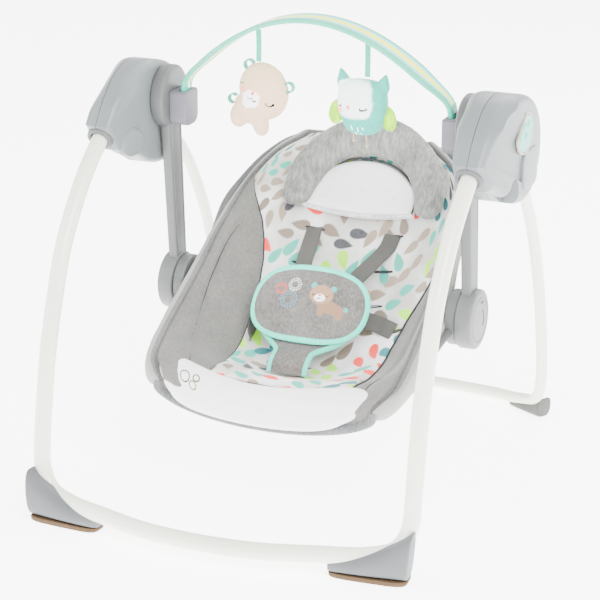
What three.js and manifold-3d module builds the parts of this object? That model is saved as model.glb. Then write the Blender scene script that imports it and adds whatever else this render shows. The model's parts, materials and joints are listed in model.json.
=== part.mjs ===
// Portable baby swing: a folding tubular stand, two pivot housings, a swinging seat and a toy bar.
// Millimetres, +Z up, +X to the sitter's left, the sitter faces -Y. The floor is z = 0.
// Every point is written in the swing frame, whose y = 0 is the swing axis; the outermost group
// then moves the whole swing so that the origin is at the middle of its footprint.
import * as THREE from 'three';
import { mergeVertices } from 'three/addons/utils/BufferGeometryUtils.js';
import Module from 'manifold-3d';

const wasm = await Module();
wasm.setup();

// ---------------------------------------------------------------- driving dimensions
const MIDDLE_X = -7.5;          // the seat's middle, off the footprint's because the drive side is thicker
const PIVOT_Y = 37.1;           // the swing axis lies this far behind the middle of the footprint
const PIVOT_Z = 487;            // height of the swing axis
const GAP = 0.3;                // air between touching pieces

const FRONT_TUBE_R = 11;
const FRONT_TUBE_X = 253.5;
const REAR_TUBE_R = 8;
const REAR_TUBE_X = 248;
const TUBE_WALL = 1.2;

const HINGE_Y = 30;             // fold hinge of the rear legs
const HINGE_Z = 445;
const HINGE_BOLT_R = 4;
const SLEEVE_R = 10.2;          // knuckle's sleeve round the rear tube

const HOUSING_IN = 222.5;       // inner and outer faces of a housing, and its parting plane
const HOUSING_OUT = 287;        // drive side
const IDLE_OUT = 272;           // the other housing is thinner
const PARTING = 253.5;
const WALL = 2.6;
const ROUND = 14;               // how far the housing's edges are rounded off

const AXLE_R = 5;
const BUSH_R = 9;
const ARM_IN = 204;
const ARM_OUT = 219;
const DISC_R = 42;
const DISC_OUT = 221.8;

const HUB_Y = 15;               // recline axis
const HUB_Z = 224;
const HUB_R = 40;
const HUB_OUT = 226;
const CAP_IN = 188;             // seat side cap of the hub
const CAP_OUT = 203.4;
const CAP_R = 37;
const STUB_R = 9;

const SEAT_TUBE_R = 5.5;
const SHELL_THICK = 7;
const LINER_LOW = 3;             // the liner's back and front, above the bucket's inner face
const LINER_TOP = 7.5;

const BAR_HALF_SPAN = 188.5;    // toy bar
const BAR_ARCH_X = 184;
const BAR_SPRING_Z = 513;
const BAR_RISE = 98;
const BAR_LEAN = 16;
const BAR_END_WIDTH = 24;        // in its sockets
const BAR_WIDTH = 46;            // over the seat
const BAR_THICK = 5;
const TOY_X = 76;

// ---------------------------------------------------------------- helpers
const v3 = (x, y, z) => new THREE.Vector3(x, y, z);

// drops everything but position and joins equal corners
function welded(geometry) {
  const bare = geometry.clone();
  for (const name of Object.keys(bare.attributes)) {
    if (name !== 'position') bare.deleteAttribute(name);
  }
  return mergeVertices(bare, 1e-4);
}

function signedVolume(geometry) {
  const at = geometry.attributes.position;
  const corner = geometry.index.array;
  const a = v3();
  const b = v3();
  const c = v3();
  let sum = 0;
  for (let i = 0; i < corner.length; i += 3) {
    a.fromBufferAttribute(at, corner[i]);
    b.fromBufferAttribute(at, corner[i + 1]);
    c.fromBufferAttribute(at, corner[i + 2]);
    sum += a.dot(b.cross(c)) / 6;
  }
  return sum;
}

// the same body with its faces pointing out
function outward(geometry) {
  const body = welded(geometry);
  if (signedVolume(body) > 0) return body;
  const corner = body.index.array;
  for (let i = 0; i < corner.length; i += 3) {
    [corner[i], corner[i + 1]] = [corner[i + 1], corner[i]];
  }
  return body;
}

function solid(geometry) {
  const body = outward(geometry);
  const vertProperties = new Float32Array(body.attributes.position.array);
  const triVerts = new Uint32Array(body.index.array);
  return new wasm.Manifold(new wasm.Mesh({ numProp: 3, vertProperties, triVerts }));
}

function geometryOf(manifold) {
  const mesh = manifold.getMesh();
  const geometry = new THREE.BufferGeometry();
  geometry.setAttribute('position', new THREE.BufferAttribute(new Float32Array(mesh.vertProperties), 3));
  geometry.setIndex(new THREE.BufferAttribute(new Uint32Array(mesh.triVerts), 1));
  return geometry;
}

const joined = (first, ...rest) => geometryOf(rest.reduce((sum, g) => sum.add(solid(g)), solid(first)));
const minus = (first, ...rest) => geometryOf(rest.reduce((sum, g) => sum.subtract(solid(g)), solid(first)));
const common = (a, b) => geometryOf(solid(a).intersect(solid(b)));

const mirrored = (geometry) => outward(geometry.clone().scale(-1, 1, 1));

// a box between two corners
function block(x0, x1, y0, y1, z0, z1) {
  const box = new THREE.BoxGeometry(x1 - x0, y1 - y0, z1 - z0);
  return box.translate((x0 + x1) / 2, (y0 + y1) / 2, (z0 + z1) / 2);
}

// an outline in the side plane (y, z), extruded along X, with rounded rims when round > 0
function sidePlate(shape, x0, x1, { round = 0, inset = 0, segments = 2, rings = 1 } = {}) {
  const plate = new THREE.ExtrudeGeometry(shape, {
    depth: x1 - x0 - 2 * round,
    bevelEnabled: round > 0 || inset > 0,
    bevelThickness: round,
    bevelSize: round,
    bevelOffset: -round - inset,
    bevelSegments: rings,
    curveSegments: segments,
  });
  plate.translate(0, 0, x0 + round);
  return plate.applyMatrix4(new THREE.Matrix4().makeBasis(v3(0, 1, 0), v3(0, 0, 1), v3(1, 0, 0)));
}

// a round bar along X
function roundX(radius, x0, x1, y, z, sides = 14) {
  const bar = new THREE.CylinderGeometry(radius, radius, x1 - x0, sides);
  return bar.rotateZ(Math.PI / 2).translate((x0 + x1) / 2, y, z);
}

// a round bar between two points
function roundBetween(radius, from, to, sides = 12) {
  const along = to.clone().sub(from);
  const bar = new THREE.CylinderGeometry(radius, radius, along.length(), sides);
  bar.applyQuaternion(new THREE.Quaternion().setFromUnitVectors(v3(0, 1, 0), along.clone().normalize()));
  const middle = from.clone().add(to).multiplyScalar(0.5);
  return bar.translate(middle.x, middle.y, middle.z);
}

// a tube that follows a smooth path, hollow when wall > 0
function tubeAlong(points, radius, wall, sides, steps) {
  const ring = new THREE.Shape().absarc(0, 0, radius, 0, 2 * Math.PI);
  if (wall > 0) ring.holes.push(new THREE.Path().absarc(0, 0, radius - wall, 0, 2 * Math.PI));
  const path = new THREE.CatmullRomCurve3(points, false, 'centripetal');
  return outward(new THREE.ExtrudeGeometry(ring, { steps, extrudePath: path, curveSegments: sides / 2 }));
}

// a path over the right side, its mirror image, and what lies between
function bothSides(half) {
  const left = half.map((p) => v3(-p.x, p.y, p.z));
  const right = half.slice(0, -1).reverse();
  return [...left, ...right];
}

// a box whose corners are sent through a map of (a, b, c), each from -1 to 1
function warped(na, nb, nc, map) {
  const box = new THREE.BoxGeometry(2, 2, 2, na, nb, nc);
  const at = box.attributes.position;
  for (let i = 0; i < at.count; i += 1) {
    const p = map(at.getX(i), at.getY(i), at.getZ(i));
    at.setXYZ(i, p.x, p.y, p.z);
  }
  return outward(box);
}

// a flat strap along a path, wide along `across`
function strap(points, across, width, thick, steps) {
  const path = new THREE.CatmullRomCurve3(points, false, 'centripetal');
  return warped(steps, 1, 1, (a, b, c) => {
    const t = (a + 1) / 2;
    const tangent = path.getTangent(t);
    const normal = tangent.clone().cross(across).normalize();
    const side = normal.clone().cross(tangent).normalize();
    return path.getPoint(t).addScaledVector(side, b * width / 2).addScaledVector(normal, c * thick / 2);
  });
}

function stadium(y0, z0, y1, z1, radius) {
  const along = Math.atan2(z1 - z0, y1 - y0);
  const shape = new THREE.Shape();
  shape.absarc(y1, z1, radius, along - Math.PI / 2, along + Math.PI / 2);
  shape.absarc(y0, z0, radius, along + Math.PI / 2, along + 3 * Math.PI / 2);
  return shape;
}

function roundedRect(y0, y1, z0, z1, r) {
  const shape = new THREE.Shape();
  shape.absarc(y1 - r, z0 + r, r, -Math.PI / 2, 0);
  shape.absarc(y1 - r, z1 - r, r, 0, Math.PI / 2);
  shape.absarc(y0 + r, z1 - r, r, Math.PI / 2, Math.PI);
  shape.absarc(y0 + r, z0 + r, r, Math.PI, 3 * Math.PI / 2);
  return shape;
}

function ellipseShape(y, z, ry, rz, turn = 0) {
  return new THREE.Shape().absellipse(y, z, ry, rz, 0, 2 * Math.PI, false, turn);
}

// ---------------------------------------------------------------- materials
const paint = (color, roughness, metalness = 0) => new THREE.MeshStandardMaterial({ color, roughness, metalness });
const FINISH = {
  whitePaint: paint(0xe9e9e7, 0.3),
  greyShell: paint(0xafb4b4, 0.45),
  greyArm: paint(0x9a9b9c, 0.5),
  greyFoot: paint(0x96979a, 0.6),
  darkGrey: paint(0x77787d, 0.5),
  pocket: paint(0xaaaaaf, 0.5),
  sole: paint(0xb8a58c, 0.9),
  steel: paint(0xb0b0b0, 0.35, 1),
  acetal: paint(0xf2f0e8, 0.5),
  copper: paint(0xb06a3a, 0.4, 1),
  board: paint(0x2c6b3c, 0.6),
  cell: paint(0x4a4f58, 0.4, 0.3),
  teal: paint(0x7fcfc9, 0.5),
  mark: paint(0xdfe9e8, 0.5),
  heather: paint(0xa9a9a6, 0.95),
  print: paint(0xf1f1ef, 0.95),
  velour: paint(0xededf0, 0.95),
  plush: paint(0xbebebd, 0.95),
  strapGrey: paint(0x8f8d8a, 0.9),
  bearFur: paint(0xdfdbd1, 0.95),
  owlPlush: paint(0x9fc4c4, 0.95),
  ribbon: paint(0x8fd6d2, 0.9),
  buckle: paint(0x8a8b8e, 0.5),
  release: paint(0x5c5d60, 0.5),
};

const swing = new THREE.Group();
swing.position.set(MIDDLE_X, PIVOT_Y, 0);

function place(name, geometry, finish) {
  const mesh = new THREE.Mesh(outward(geometry), finish);
  mesh.name = name;
  swing.add(mesh);
}

// a right-hand piece and its mirror image; +X is the side that holds the drive
function placePair(name, geometry, finish) {
  place(`${name}_right`, geometry, finish);
  place(`${name}_left`, mirrored(geometry), finish);
}

// ---------------------------------------------------------------- the stand
const FRONT_HALF = [
  v3(FRONT_TUBE_X, -62, 490), v3(FRONT_TUBE_X, -121, 453.5), v3(FRONT_TUBE_X, -163, 420),
  v3(FRONT_TUBE_X, -195, 386), v3(FRONT_TUBE_X, -233, 333), v3(FRONT_TUBE_X, -259, 273),
  v3(FRONT_TUBE_X, -280, 212), v3(FRONT_TUBE_X, -294, 149), v3(FRONT_TUBE_X, -303, 98),
  v3(251, -308, 62), v3(237, -314, 37), v3(205, -324, 27), v3(148, -344, 27), v3(75, -365, 27), v3(0, -371, 27),
];
const REAR_HALF = [
  v3(REAR_TUBE_X, 50, 432), v3(REAR_TUBE_X, 95, 398), v3(REAR_TUBE_X, 124, 366), v3(REAR_TUBE_X, 154, 323),
  v3(REAR_TUBE_X, 184, 266), v3(REAR_TUBE_X, 208, 200), v3(REAR_TUBE_X, 227, 120), v3(245, 240, 64),
  v3(234, 257, 30), v3(207, 278, 17), v3(150, 292, 15), v3(75, 298, 15), v3(0, 299, 15),
];

function frontLegTube() {
  return tubeAlong(bothSides(FRONT_HALF), FRONT_TUBE_R, TUBE_WALL, 8, 46);
}

function rearLegTube() {
  return tubeAlong(bothSides(REAR_HALF), REAR_TUBE_R, TUBE_WALL, 8, 38);
}

// a foot is a boot round the bend of a leg: tall at the heel, thin at the toe, drawn in at the floor
function boot({ heel, toe, height, width, footing, drawIn }) {
  const along = toe.clone().sub(heel);
  const length = along.length();
  along.normalize();
  const across = v3(-along.y, along.x, 0);
  return warped(7, 2, 3, (a, b, c) => {
    const t = (a + 1) / 2;
    const tall = height * (0.36 + 0.64 * Math.pow(1 - t, 2.2));
    const z = footing + (c + 1) / 2 * (tall - footing);
    const start = drawIn * (1 - z / height) * (1 - t);
    const half = width / 2 * (1 - 0.25 * t * t) * Math.sqrt(1 - 0.3 * Math.max(0, c) ** 2);
    const p = heel.clone().addScaledVector(along, start + t * length).addScaledVector(across, b * half);
    return p.setZ(z);
  });
}

const FRONT_FOOT = {
  heel: v3(262, -321, 0), toe: v3(157, -333, 0), height: 66, width: 41, footing: 6, drawIn: 6,
};
const REAR_FOOT = {
  heel: v3(247, 262, 0), toe: v3(188, 295, 0), height: 30, width: 26, footing: 0, drawIn: 4,
};

function frontFoot() {
  const bore = tubeAlong(bothSides(FRONT_HALF), FRONT_TUBE_R + 0.8, 0, 8, 46);
  return minus(boot(FRONT_FOOT), bore);
}

// the rubber shoe under a front foot
function frontSole() {
  const { heel, toe, width, footing, drawIn } = FRONT_FOOT;
  const along = toe.clone().sub(heel).normalize();
  const across = v3(-along.y, along.x, 0);
  const length = toe.distanceTo(heel);
  return warped(6, 2, 1, (a, b, c) => {
    const t = (a + 1) / 2;
    const half = width / 2 * (1 - 0.25 * t * t) - 1.5;
    const run = drawIn + 1 + t * (length - drawIn - 3);
    const p = heel.clone().addScaledVector(along, run).addScaledVector(across, b * half);
    return p.setZ((c + 1) / 2 * (footing - GAP));
  });
}

function rearFoot() {
  const bore = tubeAlong(bothSides(REAR_HALF), REAR_TUBE_R + 0.7, 0, 8, 38);
  return minus(boot(REAR_FOOT), bore);
}

// the knuckle joins a rear leg to its hinge bolt
function legKnuckle() {
  const hinge = v3(REAR_TUBE_X, HINGE_Y, HINGE_Z);
  const legStart = REAR_HALF[0];
  const along = REAR_HALF[1].clone().sub(legStart).normalize();
  const sleeve = roundBetween(SLEEVE_R, hinge.clone().addScaledVector(along, 6), legStart.clone().addScaledVector(along, 18));
  const eye = roundX(13, REAR_TUBE_X - 8, REAR_TUBE_X + 8, HINGE_Y, HINGE_Z);
  const bore = roundX(HINGE_BOLT_R + GAP, REAR_TUBE_X - 20, REAR_TUBE_X + 20, HINGE_Y, HINGE_Z);
  const socket = tubeAlong([legStart.clone().addScaledVector(along, -1), ...REAR_HALF.slice(1, 4)], REAR_TUBE_R + GAP, 0, 12, 14);
  return minus(joined(eye, sleeve), bore, socket);
}

function hingeBolt() {
  const shank = roundX(HINGE_BOLT_R, HOUSING_IN + WALL + 1.4, 260, HINGE_Y, HINGE_Z);
  const head = roundX(7, 259, 263, HINGE_Y, HINGE_Z);
  return joined(shank, head);
}

// ---------------------------------------------------------------- the pivot housings
function housingOutline() {
  const shape = new THREE.Shape();
  shape.moveTo(-110, 435);
  shape.splineThru([
    [-86, 428], [-60, 415], [-30, 400], [5, 393], [38, 401], [62, 427], [70, 460],
    [62, 495], [38, 521], [0, 535], [-42, 540], [-80, 529], [-112, 503], [-136, 472],
  ].map(([y, z]) => new THREE.Vector2(y, z)));
  shape.closePath();
  return shape;
}

// finger notch under the outer face, with the fold latch at its back
const NOTCH = { y0: -64, y1: -28, top: 436 };
const DRIVE_SIDE = { face: HOUSING_OUT, notchBack: 266 };
const IDLE_SIDE = { face: IDLE_OUT, notchBack: 258 };
const LATCH = { y0: -56, y1: -36, z0: 418, z1: 430 };

function notchBlock(back, grow) {
  const { y0, y1, top } = NOTCH;
  const r = (y1 - y0) / 2;
  const shape = new THREE.Shape();
  shape.moveTo(y0 - grow, 370);
  shape.lineTo(y1 + grow, 370);
  shape.absarc((y0 + y1) / 2, top - r, r + grow, 0, Math.PI);
  shape.closePath();
  return sidePlate(shape, back - grow, 300, { segments: 8 });
}

// what the collar end's slanted sides take off: a wedge outside and a wedge inside, `margin` deeper
function collarWedges(face, margin) {
  const wedge = (points) => {
    const shape = new THREE.Shape(points.map(([x, y]) => new THREE.Vector2(x, y)));
    return new THREE.ExtrudeGeometry(shape, { depth: 300, bevelEnabled: false }).translate(0, 0, 330);
  };
  const outside = [[PARTING + 19 - margin, -138], [Math.max(face, PARTING + 20) - margin, -30], [300, -30], [300, -138]];
  const inside = [[PARTING - 19 + margin, -138], [200, -138], [200, -56], [HOUSING_IN + margin, -56]];
  return [wedge(outside), wedge(inside)];
}

function housingWalls({ face, notchBack }) {
  const body = sidePlate(housingOutline(), HOUSING_IN, face, { round: ROUND, rings: 2 });
  const outer = minus(body, notchBlock(notchBack, 0), ...collarWedges(face, 0));
  const inset = { round: ROUND - 1, inset: WALL, rings: 2 };
  const room = sidePlate(housingOutline(), HOUSING_IN + WALL, face - WALL, inset);
  const cavity = minus(room, notchBlock(notchBack, WALL), ...collarWedges(face, WALL));
  const tubeWay = tubeAlong(FRONT_HALF.slice(0, 4), FRONT_TUBE_R + GAP, 0, 16, 12);
  return minus(outer, cavity, tubeWay, rearLegWay());
}

// room for a rear leg to swing from open to folded
function rearLegWay() {
  const shape = new THREE.Shape();
  shape.moveTo(37, 457);
  shape.lineTo(106, 412);
  shape.lineTo(106, 366);
  shape.lineTo(-2, 366);
  shape.lineTo(15, 446);
  shape.lineTo(24, 459);
  shape.closePath();
  return sidePlate(shape, REAR_TUBE_X - SLEEVE_R - 1, REAR_TUBE_X + SLEEVE_R + 1);
}

function housingInner() {
  const half = common(housingWalls(DRIVE_SIDE), block(200, PARTING - GAP / 2, -200, 120, 350, 600));
  const boss = roundX(8, HOUSING_IN + 1, 236.4, HINGE_Y, HINGE_Z);
  const bossBore = roundX(HINGE_BOLT_R + GAP, HOUSING_IN + WALL + 0.4, 245, HINGE_Y, HINGE_Z);
  const bushHole = roundX(BUSH_R + GAP, 200, 240, 0, PIVOT_Z);
  return minus(joined(half, boss), bossBore, bushHole);
}

const PANEL = { y: -9, z: 489, ry: 31, rz: 19, turn: 0.12 };
const DOOR = { y0: -14, y1: 46, z0: 411, z1: 462 };

function housingOuter(side) {
  const half = common(housingWalls(side), block(PARTING + GAP / 2, 300, -200, 120, 350, 600));
  const { y0, y1, z0, z1 } = LATCH;
  const latchWay = block(250, 275, y0 - 0.5, y1 + 0.5, z0 - 0.5, z1 + 0.5);
  if (side === IDLE_SIDE) return minus(half, latchWay);
  const grow = 0.5;
  const panelHole = sidePlate(
    ellipseShape(PANEL.y, PANEL.z, PANEL.ry + grow, PANEL.rz + grow, PANEL.turn), 280, 290, { segments: 10 });
  const doorHole = sidePlate(
    roundedRect(DOOR.y0 - grow, DOOR.y1 + grow, DOOR.z0 - grow, DOOR.z1 + grow, 14), 280, 290, { segments: 5 });
  return minus(half, latchWay, panelHole, doorHole);
}

function foldLatch({ notchBack }) {
  const { y0, y1, z0, z1 } = LATCH;
  const flange = notchBack - WALL - GAP;
  return joined(block(flange - 3, notchBack + 4.5, y0, y1, z0, z1), block(flange - 3, flange, y0 - 2, y1 + 4, z0, z1 + 3));
}

function axleBush() {
  const body = roundX(BUSH_R, HOUSING_IN + 0.2, 236, 0, PIVOT_Z);
  const flange = roundX(12.5, HOUSING_IN + WALL + GAP, 228.5, 0, PIVOT_Z);
  return minus(joined(body, flange), roundX(AXLE_R + GAP, 210, 250, 0, PIVOT_Z));
}

// ---------------------------------------------------------------- drive and electronics (right housing)
function driveMagnet() {
  const eye = roundX(9, 257.5, 263.5, 0, PIVOT_Z);
  const lever = block(257.5, 263.5, -4.5, 4.5, PIVOT_Z, PIVOT_Z + 26);
  const magnet = sidePlate(roundedRect(-8, 8, PIVOT_Z + 22, PIVOT_Z + 36, 3), 257.5, 263.5);
  return minus(joined(eye, lever, magnet), roundX(AXLE_R + GAP, 250, 270, 0, PIVOT_Z));
}

function driveCoil() {
  return minus(roundX(12, 265.5, 272, 0, PIVOT_Z + 29, 18), roundX(5, 260, 280, 0, PIVOT_Z + 29, 12));
}

function circuitBoard() {
  return sidePlate(roundedRect(-38, 22, 468, 512, 4), 278.4, 280);
}

function speaker() {
  return joined(roundX(14, 228, 232, 30, 485, 18), roundX(8, 231.5, 237, 30, 485, 16));
}

function batteryCell(y) {
  const body = roundX(7, -24, 24, 0, 0, 14);
  const tip = roundX(2.6, 23.5, 26, 0, 0, 10);
  return joined(body, tip).rotateY(-Math.PI / 2).translate(273, y, 440);
}

const BUTTONS = [
  { name: 'button_power', y: -27, z: 486, r: 5 },
  { name: 'button_speed', y: -13, z: 497, r: 4.5 },
  { name: 'button_melody', y: 2, z: 496, r: 4.5 },
  { name: 'button_volume', y: -6, z: 482, r: 4.5 },
];

function controlPanel() {
  const plate = sidePlate(ellipseShape(PANEL.y, PANEL.z, PANEL.ry, PANEL.rz, PANEL.turn), 282.8, 286.5, { segments: 10 });
  return minus(plate, ...BUTTONS.map((b) => roundX(b.r + GAP, 280, 290, b.y, b.z)));
}

const pushButton = ({ y, z, r }) => roundX(r, 282, 286.9, y, z, 14);

function batteryDoor() {
  return sidePlate(roundedRect(DOOR.y0, DOOR.y1, DOOR.z0, DOOR.z1, 14), 283.8, 286.9, { segments: 5 });
}

// ---------------------------------------------------------------- swing arms
function swingArm() {
  const disc = sidePlate(ellipseShape(0, PIVOT_Z, DISC_R, DISC_R), ARM_IN, DISC_OUT, { round: 4, segments: 9 });
  const blade = new THREE.Shape();
  blade.moveTo(-21, PIVOT_Z - 20);
  blade.lineTo(HUB_Y - 14, HUB_Z + 20);
  blade.lineTo(HUB_Y + 14, HUB_Z + 20);
  blade.lineTo(21, PIVOT_Z - 20);
  blade.closePath();
  const cap = sidePlate(ellipseShape(HUB_Y, HUB_Z, HUB_R, HUB_R), ARM_IN, HUB_OUT, { round: 3, segments: 9 });
  const stub = roundX(STUB_R, CAP_IN + 1, ARM_IN + 1, HUB_Y, HUB_Z);
  const whole = joined(disc, sidePlate(blade, ARM_IN, ARM_OUT, { round: 2 }), cap, stub);
  return minus(whole, roundX(AXLE_R + GAP, ARM_IN + 6, 240, 0, PIVOT_Z));
}

function swingAxle() {
  return roundX(AXLE_R, ARM_IN + 6.5, 265, 0, PIVOT_Z, 16);
}

// pocket on the arm's disc that holds an end of the toy bar
function toyBarSocket() {
  const outline = new THREE.Shape();
  outline.moveTo(-20, 497);
  outline.lineTo(-20, 466);
  outline.absarc(-6, 464, 14, Math.PI, 3 * Math.PI / 2);
  outline.absarc(6, 464, 14, 3 * Math.PI / 2, 2 * Math.PI);
  outline.lineTo(20, 497);
  outline.closePath();
  const pocket = sidePlate(outline, 179.5, ARM_IN - GAP, { round: 2, segments: 5 });
  return minus(pocket, block(183.8, 193.2, -13.5, 13.5, 457, 510));
}

// ---------------------------------------------------------------- toy bar and toys
function barPath() {
  const points = [v3(-BAR_HALF_SPAN, 0, 461), v3(-BAR_HALF_SPAN, 0, 492)];
  for (let i = 0; i <= 12; i += 1) {
    const across = i / 6 - 1;
    const rise = 1 - across * across;
    points.push(v3(across * BAR_ARCH_X, -BAR_LEAN * rise, BAR_SPRING_Z + BAR_RISE * rise));
  }
  points.push(v3(BAR_HALF_SPAN, 0, 492), v3(BAR_HALF_SPAN, 0, 461));
  return new THREE.CatmullRomCurve3(points, false, 'centripetal');
}

function toyBar() {
  const path = barPath();
  return warped(40, 1, 1, (a, b, c) => {
    const t = (a + 1) / 2;
    const normal = path.getTangent(t).cross(v3(0, 1, 0)).normalize();
    const flare = Math.min(1, Math.max(0, (Math.min(t, 1 - t) - 0.085) / 0.13));
    const width = BAR_END_WIDTH + (BAR_WIDTH - BAR_END_WIDTH) * flare * flare * (3 - 2 * flare);
    return path.getPoint(t).addScaledVector(v3(0, 1, 0), b * width / 2).addScaledVector(normal, c * BAR_THICK / 2);
  });
}

const TOY_HANG = { y: -13, z: 588 };    // top of the ribbons, just under the bar

function ribbon(x, bottom) {
  return strap([v3(x, TOY_HANG.y, TOY_HANG.z), v3(x, TOY_HANG.y, (TOY_HANG.z + bottom) / 2), v3(x, TOY_HANG.y, bottom)],
    v3(1, 0, 0), 7, 1.6, 6);
}

const blob = (x, y, z, rx, ry, rz) => new THREE.SphereGeometry(1, 9, 6).scale(rx, ry, rz).translate(x, y, z);

function bearToy() {
  const y = TOY_HANG.y;
  const x = -TOY_X;
  return joined(
    blob(x + 7, y, 509, 37, 18, 40), blob(x - 16, y, 484, 25, 16, 24), blob(x - 29, y, 474, 13, 11, 19),
    blob(x + 2, y, 463, 12, 11, 18), blob(x - 14, y, 545, 7, 6, 7), blob(x + 42, y, 517, 7, 6, 8));
}

function owlToy() {
  const y = TOY_HANG.y;
  const x = TOY_X;
  return joined(
    blob(x - 6, y, 502, 35.5, 19, 40), blob(x - 43, y, 490, 11, 9, 16), blob(x + 27, y, 487, 11, 9, 18),
    blob(x - 32, y, 538, 8, 6, 12), blob(x + 22, y, 536, 8, 6, 12));
}

// ---------------------------------------------------------------- seat surface
// Stations run from the front lip to the top of the back: the middle of the bucket (y, z)
// and the crest of its side wall (x, y, z).
const BUCKET_MIDDLE = [
  [-181, 116], [-160, 141], [-130, 150], [-85, 140], [-40, 145], [10, 187], [60, 235], [110, 278],
  [156, 322], [186, 368], [203, 408],
].map(([y, z]) => v3(0, y, z));
const BUCKET_CREST = [
  [148, -172, 150], [166, -152, 170], [170, -122, 188], [170, -86, 208], [169, -46, 230], [168, 0, 256],
  [166, 50, 290], [161, 95, 321], [154, 139, 348], [130, 171, 378], [88, 188, 404],
].map(([x, y, z]) => v3(x, y, z));
const BUCKET_RUN = 480;         // length of the bucket's middle line
const middleLine = new THREE.CatmullRomCurve3(BUCKET_MIDDLE, false, 'centripetal');
const crestLine = new THREE.CatmullRomCurve3(BUCKET_CREST, false, 'centripetal');

// the bucket's inner face: u from -1 (left crest) to 1 (right crest), v from 0 (lip) to 1 (top)
function bucket(u, v) {
  const within = Math.min(v, 1);
  const middle = middleLine.getPoint(within);
  const crest = crestLine.getPoint(within);
  const turn = Math.min(Math.abs(u), 1) * Math.PI / 2;
  const climb = 1 - Math.cos(turn);
  const x = Math.sign(u) * crest.x * Math.sin(turn);
  const face = v3(x, middle.y + (crest.y - middle.y) * climb, middle.z + (crest.z - middle.z) * climb);
  return face.addScaledVector(middleLine.getTangent(1), (v - within) * BUCKET_RUN);
}

// the same face moved `lift` into the bucket
function lifted(u, v, lift) {
  const step = 0.004;
  const uu = Math.max(-1 + step, Math.min(1 - step, u));
  const vv = Math.max(step, Math.min(1 - step, v));
  const alongU = bucket(uu + step, vv).sub(bucket(uu - step, vv));
  const alongV = bucket(uu, vv + step).sub(bucket(uu, vv - step));
  return bucket(u, v).addScaledVector(alongU.cross(alongV).normalize(), lift);
}

function seatShell() {
  return warped(16, 16, 1, (a, b, c) => lifted(a, (b + 1) / 2, c > 0 ? 0 : -SHELL_THICK));
}

// a pad on the bucket between two lifts, with a soft outline
function bucketPad(u0, u1, v0, v1, low, high, na, nb, crown = 0) {
  return warped(na, nb, 1, (a, b, c) => {
    const aa = crown > 0 ? a * Math.sqrt(1 - b * b / 2) : a;
    const bb = crown > 0 ? b * Math.sqrt(1 - a * a / 2) : b;
    const u = u0 + (u1 - u0) * (aa + 1) / 2;
    const v = v0 + (v1 - v0) * (bb + 1) / 2;
    const rise = 1 - crown * Math.pow(Math.min(1, aa * aa + bb * bb), 2);
    return lifted(u, v, c < 0 ? low : low + (high - low) * rise);
  });
}

// half width of the liner, as a share of the bucket's: narrow at the hips, full at the wing tips
function linerShare(v) {
  const open = Math.min(1, Math.max(0, (v - 0.45) / 0.33));
  return 0.37 + 0.5 * open * open * (3 - 2 * open);
}

function seatLiner() {
  return warped(8, 14, 1, (a, b, c) => {
    const v = 0.165 + 0.81 * (b + 1) / 2;
    return lifted(a * linerShare(v), v, c < 0 ? LINER_LOW : LINER_TOP);
  });
}

const frontPad = () => bucketPad(-0.7, 0.7, 0.012, 0.15, LINER_LOW, LINER_TOP + 1, 10, 3);
const headrest = () => bucketPad(-0.6, 0.6, 0.72, 1.04, LINER_TOP + 2, 34, 8, 8, 0.8);

// ---------------------------------------------------------------- seat frame
// a point of the seat tubes, just outside the shell
const besideShell = (u, v) => lifted(u, v, -SHELL_THICK - SEAT_TUBE_R - 3);

function seatFrameFront() {
  const half = [
    v3(195.6, -14, 215), v3(191, -50, 203), besideShell(0.88, 0.19), besideShell(0.84, 0.11),
    besideShell(0.66, 0.06), besideShell(0.36, 0.05), besideShell(0, 0.05),
  ];
  return tubeAlong(bothSides(half), SEAT_TUBE_R, 1, 8, 24);
}

function seatFrameBack() {
  const half = [
    v3(195.6, 43, 235), v3(191, 72, 257), besideShell(0.97, 0.69), besideShell(0.95, 0.78),
    besideShell(0.92, 0.88), besideShell(0.8, 0.95), besideShell(0.4, 0.965), besideShell(0, 0.965),
  ];
  return tubeAlong(bothSides(half), SEAT_TUBE_R, 1, 8, 26);
}

// seat side of the recline hub, with sockets for both seat tubes
function reclineHub() {
  const cap = sidePlate(ellipseShape(HUB_Y, HUB_Z, CAP_R, CAP_R), CAP_IN, CAP_OUT, { round: 2, segments: 9 });
  const bore = roundX(STUB_R + GAP, CAP_IN - 5, CAP_OUT + 5, HUB_Y, HUB_Z);
  const r = SEAT_TUBE_R + GAP;
  const frontWay = tubeAlong([v3(195.8, -10, 216.4), v3(195.6, -14, 215), v3(191, -50, 203)], r, 0, 12, 6);
  const backWay = tubeAlong([v3(195.8, 39, 232), v3(195.6, 43, 235), v3(191, 72, 257)], r + 0.5, 0, 12, 6);
  return minus(cap, bore, frontWay, backWay);
}

// ---------------------------------------------------------------- harness
const PAD_HALF_WIDTH = 82;
const PAD_LOW = { y: -60, z: 186 };
const PAD_HIGH = { y: 9, z: 268 };

// waist pad: an upright oval facing the sitter's front
function waistPad() {
  const up = v3(0, PAD_HIGH.y - PAD_LOW.y, PAD_HIGH.z - PAD_LOW.z);
  const half = up.length() / 2;
  up.normalize();
  const out = v3(1, 0, 0).cross(up);
  const centre = v3(0, (PAD_LOW.y + PAD_HIGH.y) / 2, (PAD_LOW.z + PAD_HIGH.z) / 2);
  return warped(8, 4, 1, (a, b, c) => {
    const across = PAD_HALF_WIDTH * a * Math.sqrt(1 - b * b * 0.32);
    const along = half * b * Math.sqrt(1 - a * a * 0.42);
    const back = 10 * a * a;
    return centre.clone().addScaledVector(v3(1, 0, 0), across).addScaledVector(up, along)
      .addScaledVector(out, 3 * c - 0.5 - back);
  });
}

function crotchFlap() {
  return strap([v3(0, -101, 154), v3(0, -92, 168), v3(0, -76, 181), v3(0, -52, 197)], v3(1, 0, 0), 52, 5, 10);
}

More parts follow.
